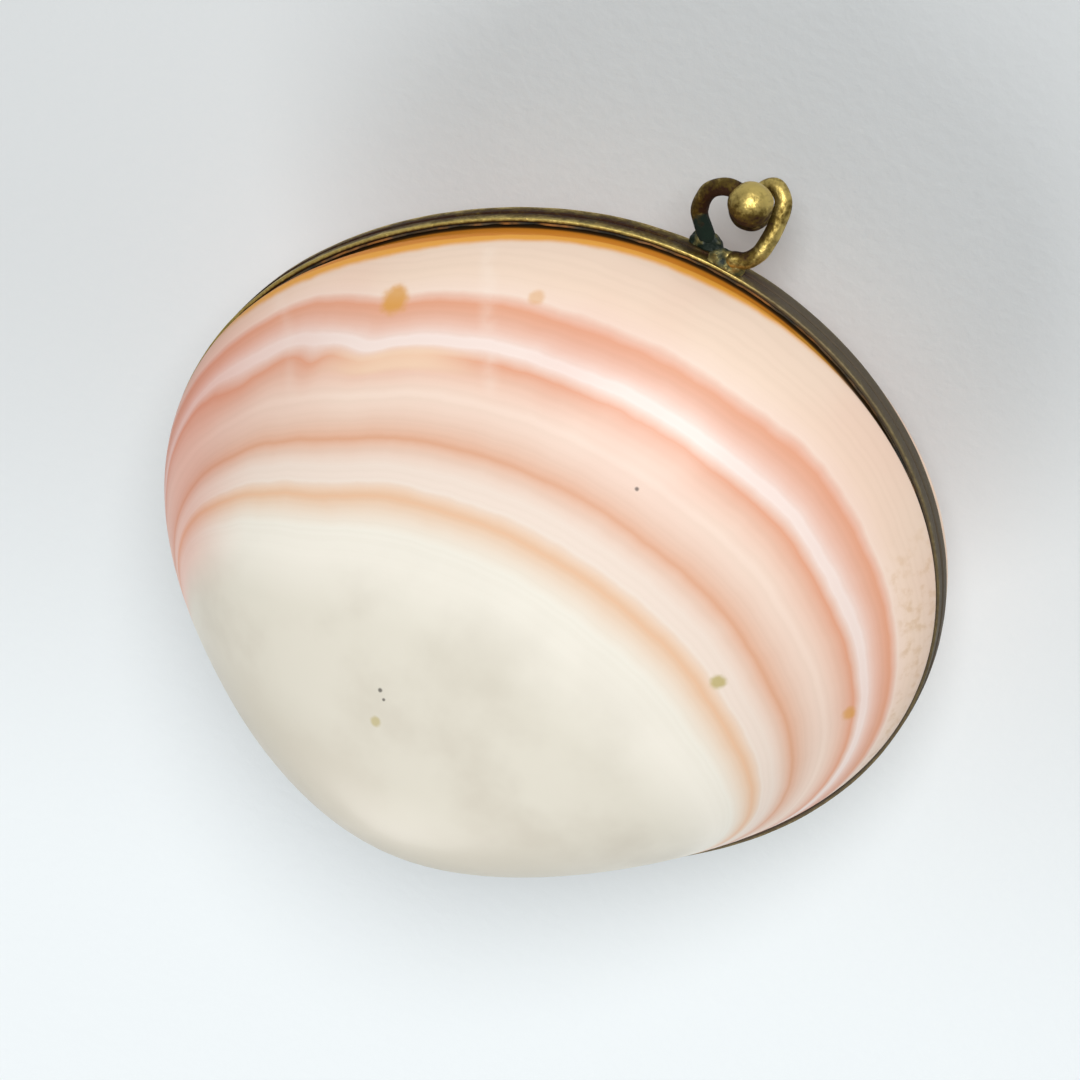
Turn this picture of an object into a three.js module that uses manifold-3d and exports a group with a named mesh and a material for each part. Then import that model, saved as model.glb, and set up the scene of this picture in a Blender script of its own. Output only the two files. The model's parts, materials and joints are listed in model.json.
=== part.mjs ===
// Clam shell trinket box: two polished valves set in hinged brass bands, shut by
// two wire hooks whose ball ends snap past each other. Millimetres, +Z up.
//
// The box is drawn level: the halves meet at z = 0, x runs along the hinge and the
// catch points to -y. At the end the whole box is leaned forward, as it rests on
// the round back of the lower valve.

import * as THREE from 'three';
import { mergeVertices } from 'three/addons/utils/BufferGeometryUtils.js';
import Module from 'manifold-3d';

const wasm = await Module();
wasm.setup();

// Outline of the shell edge: a mean radius, an oval and a slight squareness
const EDGE_RADIUS = 35.85;
const EDGE_OVAL = 2.8;
const EDGE_OVAL_TURN = THREE.MathUtils.degToRad(20);
const EDGE_SQUARE = 0.3;
const EDGE_SQUARE_TURN = THREE.MathUtils.degToRad(5);

// Dome of one valve, and the hollow inside it
const VALVE_HEIGHT = 21.9;
const CROWN_BACK = 16.1;
const CROWN_RIGHT = -0.4;
const UMBO_OVERHANG = 3.4;
const RISE = 1.18;
const FRONT_FULLNESS = 0.67;
const BACK_FULLNESS = 1.4;
const EDGE_WALL = 2.4;
const CROWN_WALL = 3.2;
const HOLLOW_CROWN_SHIFT = 1.5;
const HOLLOW_OVERHANG = 1.7;

// The flanks swell out over the band, most at one place on either side
const LEFT_SWELL = 1.25;
const LEFT_FLANK = THREE.MathUtils.degToRad(86);
const RIGHT_SWELL = 1.45;
const RIGHT_FLANK = THREE.MathUtils.degToRad(-63);
const FLANK_NARROWNESS = 8;
const SWELL_ABOVE_LIP = 0.1;
const SWELL_RISE = 1.3;
const SWELL_FADE = 6.8;

// Brass band round each valve: an upright wall and a floor under the shell edge
const BAND_HEIGHT = 1.8;
const BAND_WALL = 0.5;
const BAND_FLOOR = 0.6;
const BAND_FLOOR_REACH = 2.2;
const LIP_ROUNDING = 0.18;
const PARTING_GAP = 0.1;
const LOWER_BAND_PROUD = 0.1;

// Cement between shell and band
const CEMENT_WIDTH = 0.15;
const CEMENT_FILLET = 0.6;
const CEMENT_BED = 0.25;
const CEMENT_GAP = 0.05;
const FIT_GAP = 0.1;

// Hinge at the back
const HINGE_LENGTH = 16;
const KNUCKLE_COUNT = 5;
const KNUCKLE_RADIUS = 1.1;
const KNUCKLE_END_GAP = 0.2;
const KNUCKLE_STANDOFF = 0.35;
const KNUCKLE_SWEEP_GAP = 0.15;
const LEAF_THICKNESS = 0.5;
const LEAF_MARGIN = 0.2;
const PIN_RADIUS = 0.5;
const PIN_HEAD_RADIUS = 0.85;
const PIN_HEAD_LENGTH = 0.4;
const PIN_HEAD_BEVEL = 0.25;

// Catch at the front: two bent wires with balls on their ends
const WIRE_RADIUS = 0.87;
const BALL_RADIUS = 2.2;
const BALL_GAP = 0.15;
const WIRE_IN_BALL = 1.3;
const HOOK_ROOT_HEIGHT = 1.05;
const HOOK_ROOT_OUT = 1.05;
const SOCKET_GAP = 0.2;
const SOLDER_HALF_LENGTH = 2.1;
const SOLDER_HALF_DEPTH = 1.7;
const SOLDER_HALF_HEIGHT = 0.98;
const SOLDER_SETBACK = 0.5;

// How the box stands
const LEAN = THREE.MathUtils.degToRad(10);
const REST_FLAT_DEPTH = 0.3;

// Fineness of the meshes
const SEGMENTS = 56;
const OUTER_RINGS = 12;
const INNER_RINGS = 7;
const LEAF_STEPS = 10;
const WIRE_SIDES = 10;
const WIRE_STEPS = 24;
const BALL_SIDES = 20;
const SOLDER_SIDES = 16;
const ROOT_SIDES = 12;
const EDGE_SEARCH_STEPS = 2000;
const GROUND_SEARCH_STEPS = 360;
const KNUCKLE_SIDES = 18;

const SHELL = { color: 0xf3d9cb, roughness: 0.28, metalness: 0 };
const BRASS = { color: 0x8a7440, roughness: 0.45, metalness: 1 };
const CEMENT = { color: 0x4a3a22, roughness: 0.85, metalness: 0 };
const SOLDER = { color: 0x7d7c5c, roughness: 0.6, metalness: 1 };

const CEMENT_ROOM = CEMENT_WIDTH + 2 * CEMENT_GAP;
const SEAT_HEIGHT = PARTING_GAP / 2 + BAND_FLOOR + CEMENT_BED + 2 * CEMENT_GAP;
const SWELL_START = BAND_HEIGHT + SWELL_ABOVE_LIP;
const SWELL_FULL = SWELL_START + SWELL_RISE;
const UPPER_OUT = CEMENT_ROOM + BAND_WALL;
const LOWER_OUT = UPPER_OUT + LOWER_BAND_PROUD;

// Outline of the shell edge. Angle a is 0 at the front and grows towards +x.

function edgeRadius(a) {
  const oval = EDGE_OVAL * Math.cos(2 * (a - EDGE_OVAL_TURN));
  const square = EDGE_SQUARE * Math.cos(4 * (a - EDGE_SQUARE_TURN));
  return EDGE_RADIUS - oval + square;
}

function edgeSlope(a) {
  const oval = 2 * EDGE_OVAL * Math.sin(2 * (a - EDGE_OVAL_TURN));
  const square = 4 * EDGE_SQUARE * Math.sin(4 * (a - EDGE_SQUARE_TURN));
  return oval - square;
}

// A point of the outline, moved outwards square to it
function edgePoint(a, out = 0) {
  const r = edgeRadius(a);
  const slope = edgeSlope(a);
  const alongX = slope * Math.sin(a) + r * Math.cos(a);
  const alongY = r * Math.sin(a) - slope * Math.cos(a);
  const length = Math.hypot(alongX, alongY);
  const x = r * Math.sin(a) + (out * alongY) / length;
  const y = -r * Math.cos(a) - (out * alongX) / length;
  return [x, y];
}

// The angle at which the outline reaches furthest to the front or to the back
function furthestAngle(side, start) {
  let best = start;
  for (let i = 0; i <= EDGE_SEARCH_STEPS; i += 1) {
    const a = start + (i / EDGE_SEARCH_STEPS) * (Math.PI / 2);
    if (side * edgePoint(a)[1] > side * edgePoint(best)[1]) {
      best = a;
    }
  }
  return best;
}

const FRONT_ANGLE = furthestAngle(-1, -Math.PI / 4);
const BACK_ANGLE = furthestAngle(1, (3 * Math.PI) / 4);

// Solids

// A closed geometry from points and faces, turned so that its faces point out
function closedGeometry(points, faces) {
  const corner = faces.map((face) => face.map((i) => new THREE.Vector3(...points[i])));
  let volume = 0;
  for (const [p, q, r] of corner) {
    volume += p.dot(q.clone().cross(r));
  }
  const index = faces.map(([p, q, r]) => (volume > 0 ? [p, q, r] : [p, r, q]));
  const geometry = new THREE.BufferGeometry();
  geometry.setAttribute('position', new THREE.Float32BufferAttribute(points.flat(), 3));
  geometry.setIndex(index.flat());
  return geometry;
}

function toManifold(geometry) {
  const bare = geometry.clone();
  bare.deleteAttribute('normal');
  bare.deleteAttribute('uv');
  const merged = mergeVertices(bare, 1e-4);
  const mesh = new wasm.Mesh({
    numProp: 3,
    vertProperties: new Float32Array(merged.attributes.position.array),
    triVerts: new Uint32Array(merged.index.array),
  });
  return new wasm.Manifold(mesh);
}

function toGeometry(manifold) {
  const mesh = manifold.getMesh();
  const geometry = new THREE.BufferGeometry();
  geometry.setAttribute('position', new THREE.BufferAttribute(mesh.vertProperties, 3));
  geometry.setIndex(new THREE.BufferAttribute(mesh.triVerts, 1));
  return geometry;
}

function join(...geometries) {
  const [first, ...rest] = geometries.map(toManifold);
  return toGeometry(rest.reduce((sum, next) => sum.add(next), first));
}

function cut(geometry, ...tools) {
  return toGeometry(tools.map(toManifold).reduce((left, tool) => left.subtract(tool), toManifold(geometry)));
}

// Bands between two rings of vertices that have the same number of points
function stitch(faces, first, second, count, closed = true) {
  const last = closed ? count : count - 1;
  for (let i = 0; i < last; i += 1) {
    const j = (i + 1) % count;
    faces.push([first + i, first + j, second + j], [first + i, second + j, second + i]);
  }
}

// The triangles that fill a section, running the same way round as its points
function capTriangles(section) {
  const outline = section.map(([out, z]) => new THREE.Vector2(out, z));
  const turn = Math.sign(THREE.ShapeUtils.area(outline));
  return THREE.ShapeUtils.triangulateShape(outline, []).map(([p, q, r]) => {
    const area = THREE.ShapeUtils.area([outline[p], outline[q], outline[r]]);
    return area * turn > 0 ? [p, q, r] : [p, r, q];
  });
}

// A section of [out, z] points swept along the outline, all round or over an arc
function sweepAlongEdge(section, from = 0, to = 2 * Math.PI, steps = SEGMENTS) {
  const closed = to - from > 2 * Math.PI - 1e-6;
  const stations = closed ? steps : steps + 1;
  const points = [];
  for (let i = 0; i < stations; i += 1) {
    const a = from + (i / steps) * (to - from);
    for (const [out, z] of section) {
      points.push([...edgePoint(a, out), z]);
    }
  }
  const faces = [];
  const size = section.length;
  for (let i = 0; i < steps; i += 1) {
    stitch(faces, i * size, ((i + 1) % stations) * size, size);
  }
  if (!closed) {
    const end = steps * size;
    for (const [p, q, r] of capTriangles(section)) {
      faces.push([p, r, q], [end + p, end + q, end + r]);
    }
  }
  return closedGeometry(points, faces);
}

// The full disc inside the outline, from one height to another, to cut with
function outlinePlug(out, low, high) {
  const points = [];
  for (const z of [low, high]) {
    for (let i = 0; i < SEGMENTS; i += 1) {
      points.push([...edgePoint((i / SEGMENTS) * 2 * Math.PI, out), z]);
    }
  }
  points.push([0, 0, low], [0, 0, high]);
  const faces = [];
  stitch(faces, 0, SEGMENTS, SEGMENTS);
  for (let i = 0; i < SEGMENTS; i += 1) {
    const j = (i + 1) % SEGMENTS;
    faces.push([i, 2 * SEGMENTS, j], [SEGMENTS + i, SEGMENTS + j, 2 * SEGMENTS + 1]);
  }
  return closedGeometry(points, faces);
}

function boxBetween(low, high) {
  const size = high.map((value, i) => value - low[i]);
  const box = new THREE.BoxGeometry(...size);
  box.translate(...high.map((value, i) => (value + low[i]) / 2));
  return box;
}

// Valves

const OUTSIDE = {
  inset: 0,
  height: VALVE_HEIGHT,
  crownBack: CROWN_BACK,
  overhang: UMBO_OVERHANG,
};

const HOLLOW = {
  inset: EDGE_WALL,
  height: VALVE_HEIGHT - CROWN_WALL,
  crownBack: CROWN_BACK - HOLLOW_CROWN_SHIFT,
  overhang: HOLLOW_OVERHANG,
};

// Makes sin² t · cos t, the shape of the overhang, peak at 1
const OVERHANG_SCALE = (3 * Math.sqrt(3)) / 2;

// 1 at the middle of a flank, falling to 0 round the outline
function flankShare(a, middle) {
  return ((1 + Math.cos(a - middle)) / 2) ** FLANK_NARROWNESS;
}

// How far the dome stands out of its plain form, at an angle and a height
function swell(a, z) {
  const rise = THREE.MathUtils.smoothstep(z, SWELL_START, SWELL_FULL);
  const fade = THREE.MathUtils.smoothstep(z, SWELL_FULL, SWELL_FULL + SWELL_FADE);
  const widest = LEFT_SWELL * flankShare(a, LEFT_FLANK) + RIGHT_SWELL * flankShare(a, RIGHT_FLANK);
  return widest * rise * (1 - fade);
}

// A point of a dome: t runs from 0 at the edge to a quarter turn at the crown
function domePoint(dome, a, t) {
  const z = dome.height * Math.sin(t) ** RISE;
  const out = swell(a, z);
  const [edgeX, edgeY] = edgePoint(a, -dome.inset);
  const [outerX, outerY] = edgePoint(a, out - dome.inset);
  const middle = (FRONT_FULLNESS + BACK_FULLNESS) / 2;
  const swing = (FRONT_FULLNESS - BACK_FULLNESS) / 2;
  const fullness = 1 + (middle - 1 + swing * Math.cos(a)) * Math.cos(t) ** 2;
  const spread = Math.max(Math.cos(t), 0) ** fullness;
  const towardsBack = ((1 - Math.cos(a)) / 2) ** 2;
  const bulge = OVERHANG_SCALE * Math.sin(t) ** 2 * Math.cos(t);
  const x = CROWN_RIGHT + (edgeX - CROWN_RIGHT) * spread + outerX - edgeX;
  const overhang = dome.overhang * bulge * towardsBack;
  const y = dome.crownBack + (edgeY - dome.crownBack) * spread + overhang + outerY - edgeY;
  return [x, y, z];
}

// The steps of t: at the seat, under the swell, and evenly from its full width to the crown
function ringSteps(dome, rings) {
  const stepAt = (z) => Math.asin((z / dome.height) ** (1 / RISE));
  const steps = [stepAt(SEAT_HEIGHT), stepAt(SWELL_START)];
  const first = stepAt(SWELL_FULL);
  const rest = rings - steps.length;
  for (let k = 0; k < rest; k += 1) {
    steps.push(first + (k / rest) * (Math.PI / 2 - first));
  }
  return steps;
}

// Rings of points from the seat height up to the crown, which comes last
function domeRings(dome, rings) {
  const points = [];
  for (const t of ringSteps(dome, rings)) {
    for (let i = 0; i < SEGMENTS; i += 1) {
      points.push(domePoint(dome, (i / SEGMENTS) * 2 * Math.PI, t));
    }
  }
  points.push([CROWN_RIGHT, dome.crownBack, dome.height]);
  return points;
}

function stitchDome(faces, start, rings) {
  for (let k = 0; k < rings - 1; k += 1) {
    stitch(faces, start + k * SEGMENTS, start + (k + 1) * SEGMENTS, SEGMENTS);
  }
  const lastRing = start + (rings - 1) * SEGMENTS;
  const crown = start + rings * SEGMENTS;
  for (let i = 0; i < SEGMENTS; i += 1) {
    faces.push([lastRing + i, lastRing + ((i + 1) % SEGMENTS), crown]);
  }
}

function upperValve() {
  const outside = domeRings(OUTSIDE, OUTER_RINGS);
  const hollow = domeRings(HOLLOW, INNER_RINGS);
  const outerFaces = [];
  stitchDome(outerFaces, 0, OUTER_RINGS);
  const innerFaces = [];
  stitchDome(innerFaces, outside.length, INNER_RINGS);
  const seat = [];
  stitch(seat, outside.length, 0, SEGMENTS);
  const turned = innerFaces.map(([p, q, r]) => [p, r, q]);
  return closedGeometry([...outside, ...hollow], [...outerFaces, ...turned, ...seat]);
}

// The other valve is the mirror image of the first
function mirrored(geometry) {
  const twin = geometry.clone();
  twin.scale(1, 1, -1);
  const index = twin.index.array;
  for (let i = 0; i < index.length; i += 3) {
    [index[i + 1], index[i + 2]] = [index[i + 2], index[i + 1]];
  }
  return twin;
}

// The level box, leaned forward about x and set down on the ground
function groundContact() {
  const lean = new THREE.Matrix4().makeRotationX(LEAN);
  const lowest = new THREE.Vector3(0, 0, Infinity);
  for (let i = 0; i < GROUND_SEARCH_STEPS; i += 1) {
    for (let k = 0; k <= GROUND_SEARCH_STEPS; k += 1) {
      const a = (i / GROUND_SEARCH_STEPS) * 2 * Math.PI;
      const t = (k / GROUND_SEARCH_STEPS) * (Math.PI / 2);
      const [x, y, z] = domePoint(OUTSIDE, a, t);
      const point = new THREE.Vector3(x, y, -z).applyMatrix4(lean);
      if (point.z < lowest.z) {
        lowest.copy(point);
      }
    }
  }
  return lowest;
}

const CONTACT = groundContact();
const STANCE = new THREE.Matrix4()
  .makeTranslation(-CONTACT.x, -CONTACT.y, -CONTACT.z - REST_FLAT_DEPTH)
  .multiply(new THREE.Matrix4().makeRotationX(LEAN));

function lowerValve() {
  const ground = boxBetween([-EDGE_RADIUS, -EDGE_RADIUS, -EDGE_RADIUS], [EDGE_RADIUS, EDGE_RADIUS, 0]);
  ground.applyMatrix4(STANCE.clone().invert());
  return cut(mirrored(upperValve()), ground);
}

// Bands and cement

function bandSection(out) {
  const low = PARTING_GAP / 2;
  const floorTop = low + BAND_FLOOR;
  const inside = CEMENT_ROOM;
  return [
    [-BAND_FLOOR_REACH, low],
    [out - LIP_ROUNDING, low],
    [out, low + LIP_ROUNDING],
    [out, BAND_HEIGHT - LIP_ROUNDING],
    [out - LIP_ROUNDING, BAND_HEIGHT],
    [inside + LIP_ROUNDING / 2, BAND_HEIGHT],
    [inside, BAND_HEIGHT - LIP_ROUNDING / 2],
    [inside, floorTop],
    [-BAND_FLOOR_REACH, floorTop],
  ];
}

function cementSection() {
  const low = PARTING_GAP / 2 + BAND_FLOOR + CEMENT_GAP;
  const bed = low + CEMENT_BED;
  const fillet = SEAT_HEIGHT + CEMENT_FILLET;
  return [
    [-BAND_FLOOR_REACH + CEMENT_GAP, low],
    [CEMENT_ROOM - CEMENT_GAP, low],
    [CEMENT_ROOM - CEMENT_GAP, fillet],
    [CEMENT_GAP, fillet],
    [CEMENT_GAP, bed],
    [-BAND_FLOOR_REACH + CEMENT_GAP, bed],
  ];
}

// Hinge

const HINGE_X = edgePoint(BACK_ANGLE)[0];
const HINGE_Y = edgePoint(BACK_ANGLE)[1] + LOWER_OUT + KNUCKLE_STANDOFF + KNUCKLE_RADIUS;

function rodAlongX(radius, low, high, sides = KNUCKLE_SIDES) {
  const rod = new THREE.CylinderGeometry(radius, radius, high - low, sides);
  rod.rotateZ(Math.PI / 2);
  rod.translate((low + high) / 2, HINGE_Y, 0);
  return rod;
}

function knuckleSpan(k) {
  const pitch = HINGE_LENGTH / KNUCKLE_COUNT;
  const low = HINGE_X - HINGE_LENGTH / 2 + k * pitch;
  return [low + KNUCKLE_END_GAP / 2, low + pitch - KNUCKLE_END_GAP / 2];
}

// One leaf: side is 1 for the upper half and -1 for the lower, whose knuckles are at the ends
function hingeLeaf(side, out) {
  const own = side > 0 ? 1 : 0;
  const halfArc = HINGE_LENGTH / 2 / edgeRadius(BACK_ANGLE);
  const inner = out + FIT_GAP;
  const low = PARTING_GAP / 2 + LEAF_MARGIN;
  const high = BAND_HEIGHT - LEAF_MARGIN;
  const plate = [
    [inner, side * low],
    [inner + LEAF_THICKNESS, side * low],
    [inner + LEAF_THICKNESS, side * high],
    [inner, side * high],
  ];
  let leaf = sweepAlongEdge(plate, BACK_ANGLE - halfArc, BACK_ANGLE + halfArc, LEAF_STEPS);
  const cutters = [];
  for (let k = 0; k < KNUCKLE_COUNT; k += 1) {
    const [from, to] = knuckleSpan(k);
    if (k % 2 === own) {
      const webLow = side > 0 ? low : -KNUCKLE_RADIUS;
      const webHigh = side > 0 ? KNUCKLE_RADIUS : -low;
      const reach = 2 * LEAF_THICKNESS + KNUCKLE_STANDOFF + KNUCKLE_RADIUS;
      const web = boxBetween([from, HINGE_Y - reach, webLow], [to, HINGE_Y, webHigh]);
      leaf = join(leaf, web, rodAlongX(KNUCKLE_RADIUS, from, to));
    } else {
      const half = KNUCKLE_END_GAP;
      cutters.push(rodAlongX(KNUCKLE_RADIUS + KNUCKLE_SWEEP_GAP, from - half, to + half));
    }
  }
  const bore = rodAlongX(PIN_RADIUS + FIT_GAP, HINGE_X - HINGE_LENGTH, HINGE_X + HINGE_LENGTH);
  const room = outlinePlug(inner - FIT_GAP / 2, -BAND_HEIGHT, BAND_HEIGHT);
  return cut(leaf, bore, room, ...cutters);
}

function hingePin() {
  const half = HINGE_LENGTH / 2;
  const profile = [
    [0, -half - PIN_HEAD_LENGTH],
    [PIN_HEAD_RADIUS - PIN_HEAD_BEVEL, -half - PIN_HEAD_LENGTH],
    [PIN_HEAD_RADIUS, -half - PIN_HEAD_LENGTH / 2],
    [PIN_HEAD_RADIUS, -half],
    [PIN_RADIUS, -half],
    [PIN_RADIUS, half],
    [PIN_HEAD_RADIUS, half],
    [PIN_HEAD_RADIUS, half + PIN_HEAD_LENGTH / 2],
    [PIN_HEAD_RADIUS - PIN_HEAD_BEVEL, half + PIN_HEAD_LENGTH],
    [0, half + PIN_HEAD_LENGTH],
  ];
  const pin = new THREE.LatheGeometry(profile.map(([r, y]) => new THREE.Vector2(r, y)), KNUCKLE_SIDES);
  pin.rotateZ(Math.PI / 2);
  pin.translate(HINGE_X, HINGE_Y, 0);
  return pin;
}

// Catch

const FRONT_X = edgePoint(FRONT_ANGLE)[0];
const FRONT_Y = edgePoint(FRONT_ANGLE)[1];

// Where each hook leaves its solder, where it passes, and where its ball sits, as
// [across, forward] from the front of the shell edge. The way between root and ball
// rises or falls evenly.
const LOWER_HOOK = {
  side: -1,
  out: LOWER_OUT,
  rootAcross: 1.75,
  way: [[2.55, 2.85], [3.3, 4], [3.45, 5.4], [2.95, 7.1], [1.6, 8.25], [0.2, 8.4]],
  ball: [-1.05, 7.9],
};

const UPPER_HOOK = {
  side: 1,
  out: UPPER_OUT,
  rootAcross: -1.7,
  way: [[-2.75, 2.25], [-3.6, 3.4], [-3.85, 5], [-3.85, 6.8], [-3.4, 8.6], [-2.2, 9.25], [-1.25, 8.3]],
  ball: [-0.85, 6],
};

// Height of the ball centres above and below the parting plane, so that one ball
// hooks under the other with a small gap
function ballHeight() {
  const across = LOWER_HOOK.ball[0] - UPPER_HOOK.ball[0];
  const forward = LOWER_HOOK.ball[1] - UPPER_HOOK.ball[1];
  const apart = 2 * BALL_RADIUS + BALL_GAP;
  return Math.sqrt(apart ** 2 - across ** 2 - forward ** 2) / 2;
}

const BALL_HEIGHT = ballHeight();

function hookRoot(hook) {
  const x = FRONT_X + hook.rootAcross;
  const y = FRONT_Y - hook.out - HOOK_ROOT_OUT;
  return new THREE.Vector3(x, y, hook.side * HOOK_ROOT_HEIGHT);
}

function ballCentre(hook) {
  return new THREE.Vector3(FRONT_X + hook.ball[0], FRONT_Y - hook.ball[1], -hook.side * BALL_HEIGHT);
}

function hookCurve(hook) {
  const plan = hook.way.map(([across, forward]) => [FRONT_X + across, FRONT_Y - forward]);
  const root = hookRoot(hook);
  const ball = ballCentre(hook);
  const flat = [[root.x, root.y], ...plan, [ball.x, ball.y]];
  let total = 0;
  const along = flat.map(([x, y], i) => {
    if (i > 0) {
      total += Math.hypot(x - flat[i - 1][0], y - flat[i - 1][1]);
    }
    return total;
  });
  const points = flat.map(([x, y], i) => {
    const share = along[i] / total;
    const eased = share * share * (3 - 2 * share);
    return new THREE.Vector3(x, y, root.z + (ball.z - root.z) * eased);
  });
  return new THREE.CatmullRomCurve3(points, false, 'centripetal');
}

// The stretch of the hook that is solid wire: it stops inside the ball
class WireCurve extends THREE.Curve {
  constructor(curve, end) {
    super();
    this.curve = curve;
    this.end = end;
  }

  getPoint(t, target = new THREE.Vector3()) {
    return this.curve.getPointAt(t * this.end, target);
  }
}

function wire(hook, radius, intoBall) {
  const curve = hookCurve(hook);
  const length = curve.getLength();
  const end = (length - BALL_RADIUS + intoBall) / length;
  const shape = new THREE.Shape();
  shape.absarc(0, 0, radius, 0, 2 * Math.PI);
  return new THREE.ExtrudeGeometry(shape, {
    steps: WIRE_STEPS,
    curveSegments: WIRE_SIDES / 2,
    extrudePath: new WireCurve(curve, end),
  });
}

function sphereAt(centre, radius, sides) {
  const sphere = new THREE.SphereGeometry(radius, sides, sides / 2);
  sphere.translate(centre.x, centre.y, centre.z);
  return sphere;
}

// The wire's root is round, so that it can swing in its solder
function catchHook(hook) {
  const knob = sphereAt(hookRoot(hook), WIRE_RADIUS, ROOT_SIDES);
  return join(wire(hook, WIRE_RADIUS, WIRE_IN_BALL), knob);
}

function catchBall(hook) {
  const ball = sphereAt(ballCentre(hook), BALL_RADIUS, BALL_SIDES);
  return cut(ball, wire(hook, WIRE_RADIUS + FIT_GAP, WIRE_IN_BALL + FIT_GAP));
}

// A lump of solder on the band behind the hook's root, with a round socket for it
function catchSolder(hook) {
  const root = hookRoot(hook);
  const start = hookCurve(hook).getTangentAt(0);
  start.z = 0;
  start.normalize();
  const centre = root.clone().addScaledVector(start, -SOLDER_SETBACK);
  centre.y += HOOK_ROOT_OUT / 2;
  const lump = new THREE.SphereGeometry(1, SOLDER_SIDES, SOLDER_SIDES / 2);
  lump.scale(SOLDER_HALF_LENGTH, SOLDER_HALF_DEPTH, SOLDER_HALF_HEIGHT);
  lump.translate(centre.x, centre.y, centre.z);
  const socket = sphereAt(root, WIRE_RADIUS + SOCKET_GAP, SOLDER_SIDES);
  const reach = 4 * SOLDER_HALF_LENGTH;
  const ahead = boxBetween([0, -reach, -reach], [reach, reach, reach]);
  ahead.rotateZ(Math.atan2(start.y, start.x));
  ahead.translate(root.x, root.y, root.z);
  const room = outlinePlug(hook.out + FIT_GAP, root.z - BAND_HEIGHT, root.z + BAND_HEIGHT);
  return cut(lump, socket, ahead, room);
}

// The box

const level = new THREE.Group();

function addPiece(name, geometry, finish) {
  const mesh = new THREE.Mesh(geometry, new THREE.MeshStandardMaterial(finish));
  mesh.name = name;
  level.add(mesh);
}

addPiece('upper_valve', upperValve(), SHELL);
addPiece('lower_valve', lowerValve(), SHELL);
addPiece('upper_band', sweepAlongEdge(bandSection(UPPER_OUT)), BRASS);
addPiece('lower_band', mirrored(sweepAlongEdge(bandSection(LOWER_OUT))), BRASS);
addPiece('upper_cement', sweepAlongEdge(cementSection()), CEMENT);
addPiece('lower_cement', mirrored(sweepAlongEdge(cementSection())), CEMENT);
addPiece('upper_hinge_leaf', hingeLeaf(1, UPPER_OUT), BRASS);
addPiece('lower_hinge_leaf', hingeLeaf(-1, LOWER_OUT), BRASS);
addPiece('hinge_pin', hingePin(), BRASS);
addPiece('lower_catch_hook', catchHook(LOWER_HOOK), BRASS);
addPiece('lower_catch_ball', catchBall(LOWER_HOOK), BRASS);
addPiece('lower_catch_solder', catchSolder(LOWER_HOOK), SOLDER);
addPiece('upper_catch_hook', catchHook(UPPER_HOOK), BRASS);
addPiece('upper_catch_ball', catchBall(UPPER_HOOK), BRASS);
addPiece('upper_catch_solder', catchSolder(UPPER_HOOK), SOLDER);

level.applyMatrix4(STANCE);

const box = new THREE.Group();
box.add(level);

export default box;
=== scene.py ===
# %% [markdown]
# # A shell trinket box
# The object is an antique box made from a clam. Two polished valves sit in brass bands, the
# bands are hinged at the back, and two curled wires with ball ends snap past each other at the
# front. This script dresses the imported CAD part: every CAD node gets a finer piece of the same
# size in the same place, with a procedural material.

import json
from math import cos, hypot, pi, radians, sin, sqrt

import bmesh
import bpy
import numpy as np
from mathutils import Matrix, Vector, noise


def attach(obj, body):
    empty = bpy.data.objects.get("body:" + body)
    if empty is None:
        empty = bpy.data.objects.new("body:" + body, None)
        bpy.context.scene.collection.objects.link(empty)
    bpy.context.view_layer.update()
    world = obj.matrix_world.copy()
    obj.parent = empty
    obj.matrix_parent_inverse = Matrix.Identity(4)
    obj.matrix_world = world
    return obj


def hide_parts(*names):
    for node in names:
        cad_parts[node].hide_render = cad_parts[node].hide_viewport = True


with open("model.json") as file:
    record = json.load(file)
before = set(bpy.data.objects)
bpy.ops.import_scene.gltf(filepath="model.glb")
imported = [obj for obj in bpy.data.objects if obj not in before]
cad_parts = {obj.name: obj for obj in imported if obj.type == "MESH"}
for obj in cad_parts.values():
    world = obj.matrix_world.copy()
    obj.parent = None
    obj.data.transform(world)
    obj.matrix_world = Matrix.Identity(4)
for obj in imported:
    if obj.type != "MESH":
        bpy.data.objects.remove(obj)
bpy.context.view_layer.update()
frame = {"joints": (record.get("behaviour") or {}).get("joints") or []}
MM = 0.001

# %% [markdown]
# ## The drawing frame
# The box is easiest to describe level, with the halves meeting at z = 0, the hinge along x and
# the catch towards -y. The real box rests on the round of its lower valve and leans 10 degrees
# towards the catch. So each piece is drawn level, in millimetres, and one matrix sets it down.

# %% Drawing frame
EDGE_RADIUS = 35.85
EDGE_OVAL = 2.8
EDGE_OVAL_TURN = radians(20)
EDGE_SQUARE = 0.3
EDGE_SQUARE_TURN = radians(5)
RING_STEPS = 3600
LEAN = radians(10)
HINGE_ABOVE = 36.454
HINGE_SIDE = 3.554

hinge_joint = next(j for j in frame["joints"] if j["name"] == "lid_hinge")
lean = Matrix.Rotation(LEAN, 4, "X")
hinge_level = Vector((HINGE_SIDE, HINGE_ABOVE, 0)) * MM
set_down = Matrix.Translation(Vector(hinge_joint["pos_m"]) - lean @ hinge_level)
LEVEL_TO_ROW = set_down @ lean
print("level origin in the row frame:", [round(v / MM, 2) for v in LEVEL_TO_ROW.translation])


def edge_radius(a):
    """How far the shell edge is from the middle, at an angle counted from the catch."""
    oval = EDGE_OVAL * np.cos(2 * (a - EDGE_OVAL_TURN))
    square = EDGE_SQUARE * np.cos(4 * (a - EDGE_SQUARE_TURN))
    return EDGE_RADIUS - oval + square


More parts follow.
